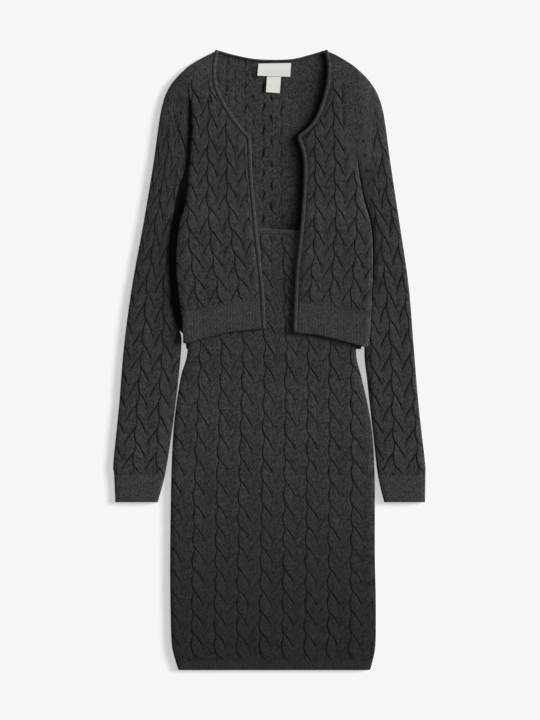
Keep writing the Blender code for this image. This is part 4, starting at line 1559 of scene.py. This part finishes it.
LEFT = Side(
    name="left",
    sign=-1.0,
    neck=((-80.8, 495.4), (-85.3, 468.0), (-81.0, 431.0), (-57.5, 389.0), (-29.6, 355.5)),
    opening=((-29.6, 355.5), (-27.0, 291.0), (-18.5, 199.5), (-9.0, 111.5), (-6.3, 50.0)),
    shoulder=((-88.5, 493.6), (-92.0, 491.4), (-95.0, 489.6), (-114.5, 479.8), (-131.0, 469.0)),
    armhole=((-129.0, 470.0), (-129.0, 428.0), (-124.6, 404.0), (-123.8, 365.0), (-128.0, 307.0)),
    side=(
        (-128.5, 307.0), (-134.5, 252.0), (-144.0, 214.0), (-149.0, 160.0),
        (-145.8, 110.0), (-141.0, 75.0), (-138.5, 45.0), (-138.0, 25.0),
    ),
    back_corner=((-137.0, 40.0), (-133.0, 17.0)),
    band_top=((-141.0, 75.0), (-69.5, 86.5), (-15.0, 99.5)),
    band_hem=((-138.0, 25.0), (-67.5, 43.0), (-13.0, 49.5)),
    columns=(
        (419.0, -82.5, 28.0), (316.5, -84.5, 30.1), (251.0, -83.5, 32.3),
        (166.0, -74.5, 34.7), (95.5, -63.5, 34.7),
    ),
    outer=(
        (-129.5, 470.0), (-157.5, 441.0), (-173.0, 403.0), (-186.5, 311.5), (-202.5, 215.5), (-220.0, 119.5),
        (-233.0, 23.5), (-241.0, -72.5), (-250.0, -163.5), (-249.0, -184.5), (-247.0, -228.0),
    ),
    inner=(
        (-128.5, 404.0), (-130.0, 365.0), (-135.0, 307.0), (-146.5, 274.0), (-155.5, 225.0),
        (-161.0, 175.0), (-158.5, 115.0), (-153.5, 72.0), (-143.0, 44.0), (-141.0, 24.0),
        (-146.7, -39.0), (-157.3, -122.0), (-167.4, -184.5), (-178.9, -228.0),
    ),
    sleeve_columns=(
        (395.0, -150.0, 19.2), (334.0, -154.0, 18.4), (249.0, -165.4, 24.0), (112.0, -184.3, 27.5),
        (62.0, -185.0, 31.5), (-20.0, -191.0, 33.6), (-172.0, -200.6, 36.8),
    ),
    front_plain=((-190.0, 480.0), (-190.0, 0.0)),
    sleeve_plain=((-156.0, 400.0), (-149.0, 372.0), (-149.0, 318.0), (-138.0, 295.0), (-100.0, 275.0)),
    creases=(
        ((-153.8, 397.0), (-148.8, 375.0), (-137.8, 346.0), (-128.0, 312.0)),
        ((-95.5, 428.0), (-94.0, 415.0), (-92.8, 402.0)),
    ),
)

RIGHT = Side(
    name="right",
    sign=1.0,
    neck=((87.2, 495.4), (92.8, 468.0), (87.0, 426.0), (69.5, 382.0), (43.0, 357.0)),
    opening=((43.0, 357.0), (54.0, 315.5), (50.5, 230.0), (41.5, 140.5), (37.0, 43.0)),
    shoulder=((95.0, 493.6), (98.5, 491.6), (105.0, 488.9), (121.0, 479.8), (137.0, 469.0)),
    armhole=((135.0, 470.0), (142.0, 436.0), (140.5, 400.0), (139.2, 365.0), (141.5, 307.0)),
    side=(
        (141.5, 307.0), (151.0, 255.5), (162.0, 214.0), (165.0, 160.0),
        (163.0, 92.5), (161.8, 68.5), (160.5, 42.0), (156.5, 19.0),
    ),
    back_corner=((148.0, 21.0), (146.0, 17.0)),
    band_top=((161.8, 68.5), (82.0, 86.0), (46.5, 92.0)),
    band_hem=((156.5, 19.0), (84.5, 37.5), (44.0, 42.5)),
    columns=((431.5, 87.0, 28.8), (316.5, 88.0, 31.8), (214.0, 89.0, 33.3), (92.5, 80.0, 32.8)),
    outer=(
        (135.5, 470.0), (162.5, 443.0), (181.0, 403.0), (194.5, 311.5), (209.0, 215.5), (223.0, 119.5),
        (231.0, 23.5), (239.0, -72.5), (249.3, -163.5), (250.0, -184.5), (249.5, -228.0),
    ),
    inner=(
        (141.7, 307.0), (150.2, 265.0), (163.5, 210.0), (165.5, 160.0), (162.0, 95.5),
        (152.0, 20.0), (157.0, -39.0), (166.2, -122.0), (173.5, -184.5), (183.6, -228.0),
    ),
    sleeve_columns=(
        (395.0, 158.0, 24.0), (249.0, 177.6, 27.2), (198.0, 191.5, 27.2),
        (112.0, 201.1, 30.4), (28.0, 208.8, 31.4), (-172.0, 218.2, 37.3),
    ),
    joined=325.0,
    front_plain=((115.5, 440.0), (119.5, 366.0), (131.0, 318.0), (150.0, 268.0), (190.0, 240.0)),
    sleeve_plain=((168.0, 400.0), (165.0, 320.0), (165.0, 262.0), (156.0, 236.0), (130.0, 215.0)),
    creases=(((115.2, 445.0), (117.0, 410.0), (119.2, 364.0)),),
)


@dataclass
class Bolero:
    """Cropped open jacket: back, two fronts, sleeves, ribbed bands and a rolled binding.

    Attributes:
        sides: Left and right side.
        back_neck: Neck edge of the back, from left to right.
        band_top: Top of the back's hem band.
        band_hem: Foot of the back's hem band.
        levels: Pairs of a y and the height of the fronts' plain side.
    """

    sides: tuple[Side, Side] = (LEFT, RIGHT)
    back_neck: Points = (
        (-82.5, 496.5), (-57.5, 489.2), (-18.5, 482.0), (33.0, 482.0), (65.0, 489.2), (89.0, 496.5),
    )
    band_top: float = 66.0
    band_hem: float = 17.0
    levels: Points = ((476.7, ON_ONE), (458.0, UNDER_YOKE), (252.5, UNDER_YOKE), (215.2, OVER_DRESS))

    def build(self, finishes: Finishes) -> None:
        """Builds the whole bolero, in the material of each slot."""
        left, right = (by_height(side.back_run()) for side in self.sides)
        neck = beside(spline(self.back_neck), -NECK_BINDING - JOIN)
        shoulders = [np.array(side.shoulder) for side in self.sides]
        cut = Cut(left, right, by_width(np.vstack([neck, *shoulders])), level(self.band_top + JOIN))
        back = Panel("bolero_back", "knit", cut, rounded(0.1, 0.1, 0.5, 0.0), wall=UNDER)
        xs = ruler(-164.0, 169.0, 4.2, (-89.0, 97.0))
        ys = ruler(self.band_top, 495.0, 4.2, (196.0, 494.0))
        back.build(jersey_grid(back, xs, ys, Purl().height), finishes, "floor")
        cut = Cut(left, right, level(self.band_top), level(self.band_hem))
        band = Panel("bolero_band_back", "rib", cut, rounded(0.1, 0.1, 0.0, 1.2), wall=UNDER)
        ys = ruler(self.band_hem - 1, self.band_top + 1, 1.8)
        grid = jersey_grid(band, ruler(-155.0, 160.0, 1.8), ys, ribbed(BACK, 4.4))
        # Painted shade: the back's band lies in shade under the fronts and beside the sleeves, so its colour
        # is made nearly black.
        grid.relief *= 0.05
        band.build(grid, finishes, "floor")
        for side in self.sides:
            side.build_front(self.levels, finishes)
            side.build_sleeve(self.levels, finishes)
            run = beside(side.opening_run(), side.sign * BINDING / 2)
            self.build_binding(f"binding_{side.name}", run, BINDING, finishes)
        run = beside(spline(self.back_neck), -NECK_BINDING / 2)
        self.build_binding("binding_neck", run, NECK_BINDING, finishes)

    def build_binding(self, node: str, run: Array, width: float, finishes: Finishes) -> None:
        """Builds one length of the rolled binding as a tube, a little narrower at its ends.

        Args:
            node: CAD node that it replaces.
            run: Its middle line, seen from above.
            width: Its diameter.
            finishes: The material of each slot.
        """
        table = np.array(self.levels)[::-1]
        lengths = run_lengths(run)
        whole = lengths[-1]
        count = max(8, round(whole / 2.5))
        at = np.linspace(0, whole, count + 1)
        x, y = np.interp(at, lengths, run[:, 0]), np.interp(at, lengths, run[:, 1])
        z = np.interp(y, table[:, 0], table[:, 1]) if node != "binding_neck" else np.zeros_like(y)
        lean = np.gradient(np.column_stack([x, y]), axis=0)
        lean /= np.hypot(lean[:, 0], lean[:, 1])[:, None]
        around = 12
        radius = width / 2
        tall = min(radius, 2.45)

        def squared(value: float) -> float:
            """A sine or cosine squared off, for a flattened roll."""
            return math.copysign(abs(value) ** 0.6, value)

        def place(step: int, n: int) -> tuple:
            """Place and stitch coordinates on the roll."""
            turn = math.tau * step / around
            close = 1 - 0.45 * max(0.0, 1 - min(at[n], whole - at[n]) / 2.4) ** 2
            out = close * radius * squared(math.cos(turn))
            up = close * tall * 0.97 * squared(math.sin(turn))
            point = (x[n] - lean[n, 1] * out, y[n] + lean[n, 0] * out, z[n] + tall + up)
            # Painted shade: a relief of 0.9 makes the whole roll a little darker.
            return point, (turn * radius, at[n], 0.9)

        bm = strip_mesh(around, count, place)
        bmesh.ops.remove_doubles(bm, verts=bm.verts, dist=0.01)
        bmesh.ops.holes_fill(bm, edges=bm.edges, sides=around + 1)
        piece = finish_strip(node, "roll", bm, finishes)


@dataclass
class Label:
    """A woven label, sewn on at the top and loose below, inside the back of the neck.

    Attributes:
        node: CAD node that it replaces.
        corners: Its four corners from the upper left, clockwise.
        belly: How far it stands up in the middle, in mm.
        curl: How far its lower left corner does.
        thick: Its thickness.
    """

    node: str
    corners: Points
    belly: float = 0.5
    curl: float = 0.9
    thick: float = 0.45

    def build(self, finishes: Finishes) -> None:
        """Builds the label, in the material of each slot."""
        a, b, c, d = (np.array(corner) for corner in self.corners)
        bm = bmesh.new()
        bmesh.ops.create_grid(bm, x_segments=16, y_segments=10, size=1.0)
        for vert in bm.verts:
            u, v = (vert.co.x + 1) / 2, (1 - vert.co.y) / 2
            x, y = (a * (1 - u) + b * u) * (1 - v) + (d * (1 - u) + c * u) * v
            lift = self.belly * math.sin(math.pi * v) ** 2 + self.curl * (1 - u) * v**2
            vert.co = (x, y, ON_ONE + 0.35 + lift)
        top = bmesh.ops.extrude_face_region(bm, geom=bm.faces[:], use_keep_orig=True)["geom"]
        verts = [item for item in top if isinstance(item, bmesh.types.BMVert)]
        bmesh.ops.translate(bm, verts=verts, vec=(0.0, 0.0, self.thick))
        piece = place_piece(to_mesh(f"{self.node}_ribbon", bm), self.node, Slot.LABEL, finishes)


# ---- studio ----


@dataclass(frozen=True)
class Studio:
    """Pale floor that gives off light, soft low light from the right and a camera straight above.

    Attributes:
        distance: Height of the camera over the garment, in metres.
        lens: Focal length in mm, on a 36 mm sensor.
        centre: What the camera looks at, in mm.
        sun_height: Height of the light over the floor, in degrees.
        sun_from: Direction that the light comes from, in degrees from +X towards +Y.
        sun_size: Angular size of the light, in degrees.
        sun_strength: Strength of the light.
        air_strength: Strength of the light from all round.
        glow: Light that the floor gives off itself.
        white: Linear value at which the overexposed floor clips.
    """

    distance: float = 2.72
    lens: float = 85.0
    centre: tuple[float, float, float] = (0.8, -0.4, 8.0)
    sun_height: float = 16.5
    sun_from: float = 20.0
    sun_size: float = 36.0
    sun_strength: float = 6.1
    air_strength: float = 0.24
    glow: float = 0.41
    white: float = 0.922

    def build(self) -> None:
        """Builds the floor, the lights and the camera."""
        scene = bpy.context.scene
        scene.view_settings.view_transform = "Standard"
        scene.view_settings.use_curve_mapping = True
        curves = scene.view_settings.curve_mapping
        curves.extend = "HORIZONTAL"
        for point in curves.curves[3].points:
            point.handle_type = "VECTOR"
        curves.curves[3].points[1].location = (self.white, self.white)
        curves.update()
        bm = bmesh.new()
        bmesh.ops.create_grid(bm, x_segments=2, y_segments=2, size=6.0)
        bmesh.ops.translate(bm, verts=bm.verts, vec=(0.0, 0.0, -0.0004))
        mesh = bpy.data.meshes.new("floor")
        bm.to_mesh(mesh)
        bm.free()
        add_object("floor", mesh)
        values = {"Base Color": to_linear("#f0f0f0"), "Roughness": 0.95, "Specular IOR Level": 0.1}
        light = {"Emission Color": WHITE, "Emission Strength": self.glow}
        mesh.materials.append(new_material("studio_paper", values | light)[0])
        sun = bpy.data.lights.new("softbox", "SUN")
        sun.angle = math.radians(self.sun_size)
        sun.energy = self.sun_strength
        lamp = add_object("softbox", sun)
        lamp.rotation_euler = (0.0, math.radians(90 - self.sun_height), math.radians(self.sun_from))
        world = bpy.data.worlds.new("studio_air")
        world.use_nodes = True
        air = world.node_tree.nodes["Background"].inputs
        air["Color"].default_value = WHITE
        air["Strength"].default_value = self.air_strength
        scene.world = world
        camera = bpy.data.cameras.new("camera")
        camera.lens = self.lens
        camera.sensor_width = 36.0
        camera.clip_end = 50.0
        holder = add_object("camera", camera)
        x, y, z = (value * MM for value in self.centre)
        holder.location = (x, y, z + self.distance)
        scene.camera = holder


def main() -> None:
    """Builds the outfit and the studio, and reports each piece."""
    logging.basicConfig(level=logging.INFO, format="%(message)s")
    rib = Yarn("charcoal_melange_rib_knit", dark="#262627", pale="#48484a", contrast=0.6)
    looks = {Slot.BODY: Yarn("charcoal_melange_cable_knit"), Slot.RIB: rib, Slot.LABEL: LabelCloth()}
    finishes = {slot: look.build() for slot, look in looks.items()}
    Bolero().build(finishes)
    Dress().build(finishes)
    Label("main_label", ((-17.6, 474.6), (34.5, 475.4), (33.2, 453.4), (-19.5, 455.0))).build(finishes)
    Label("size_label", ((-4.0, 453.9), (18.5, 453.3), (16.5, 427.2), (-5.6, 428.8))).build(finishes)
    Studio().build()


if __name__ == "__main__":
    main()
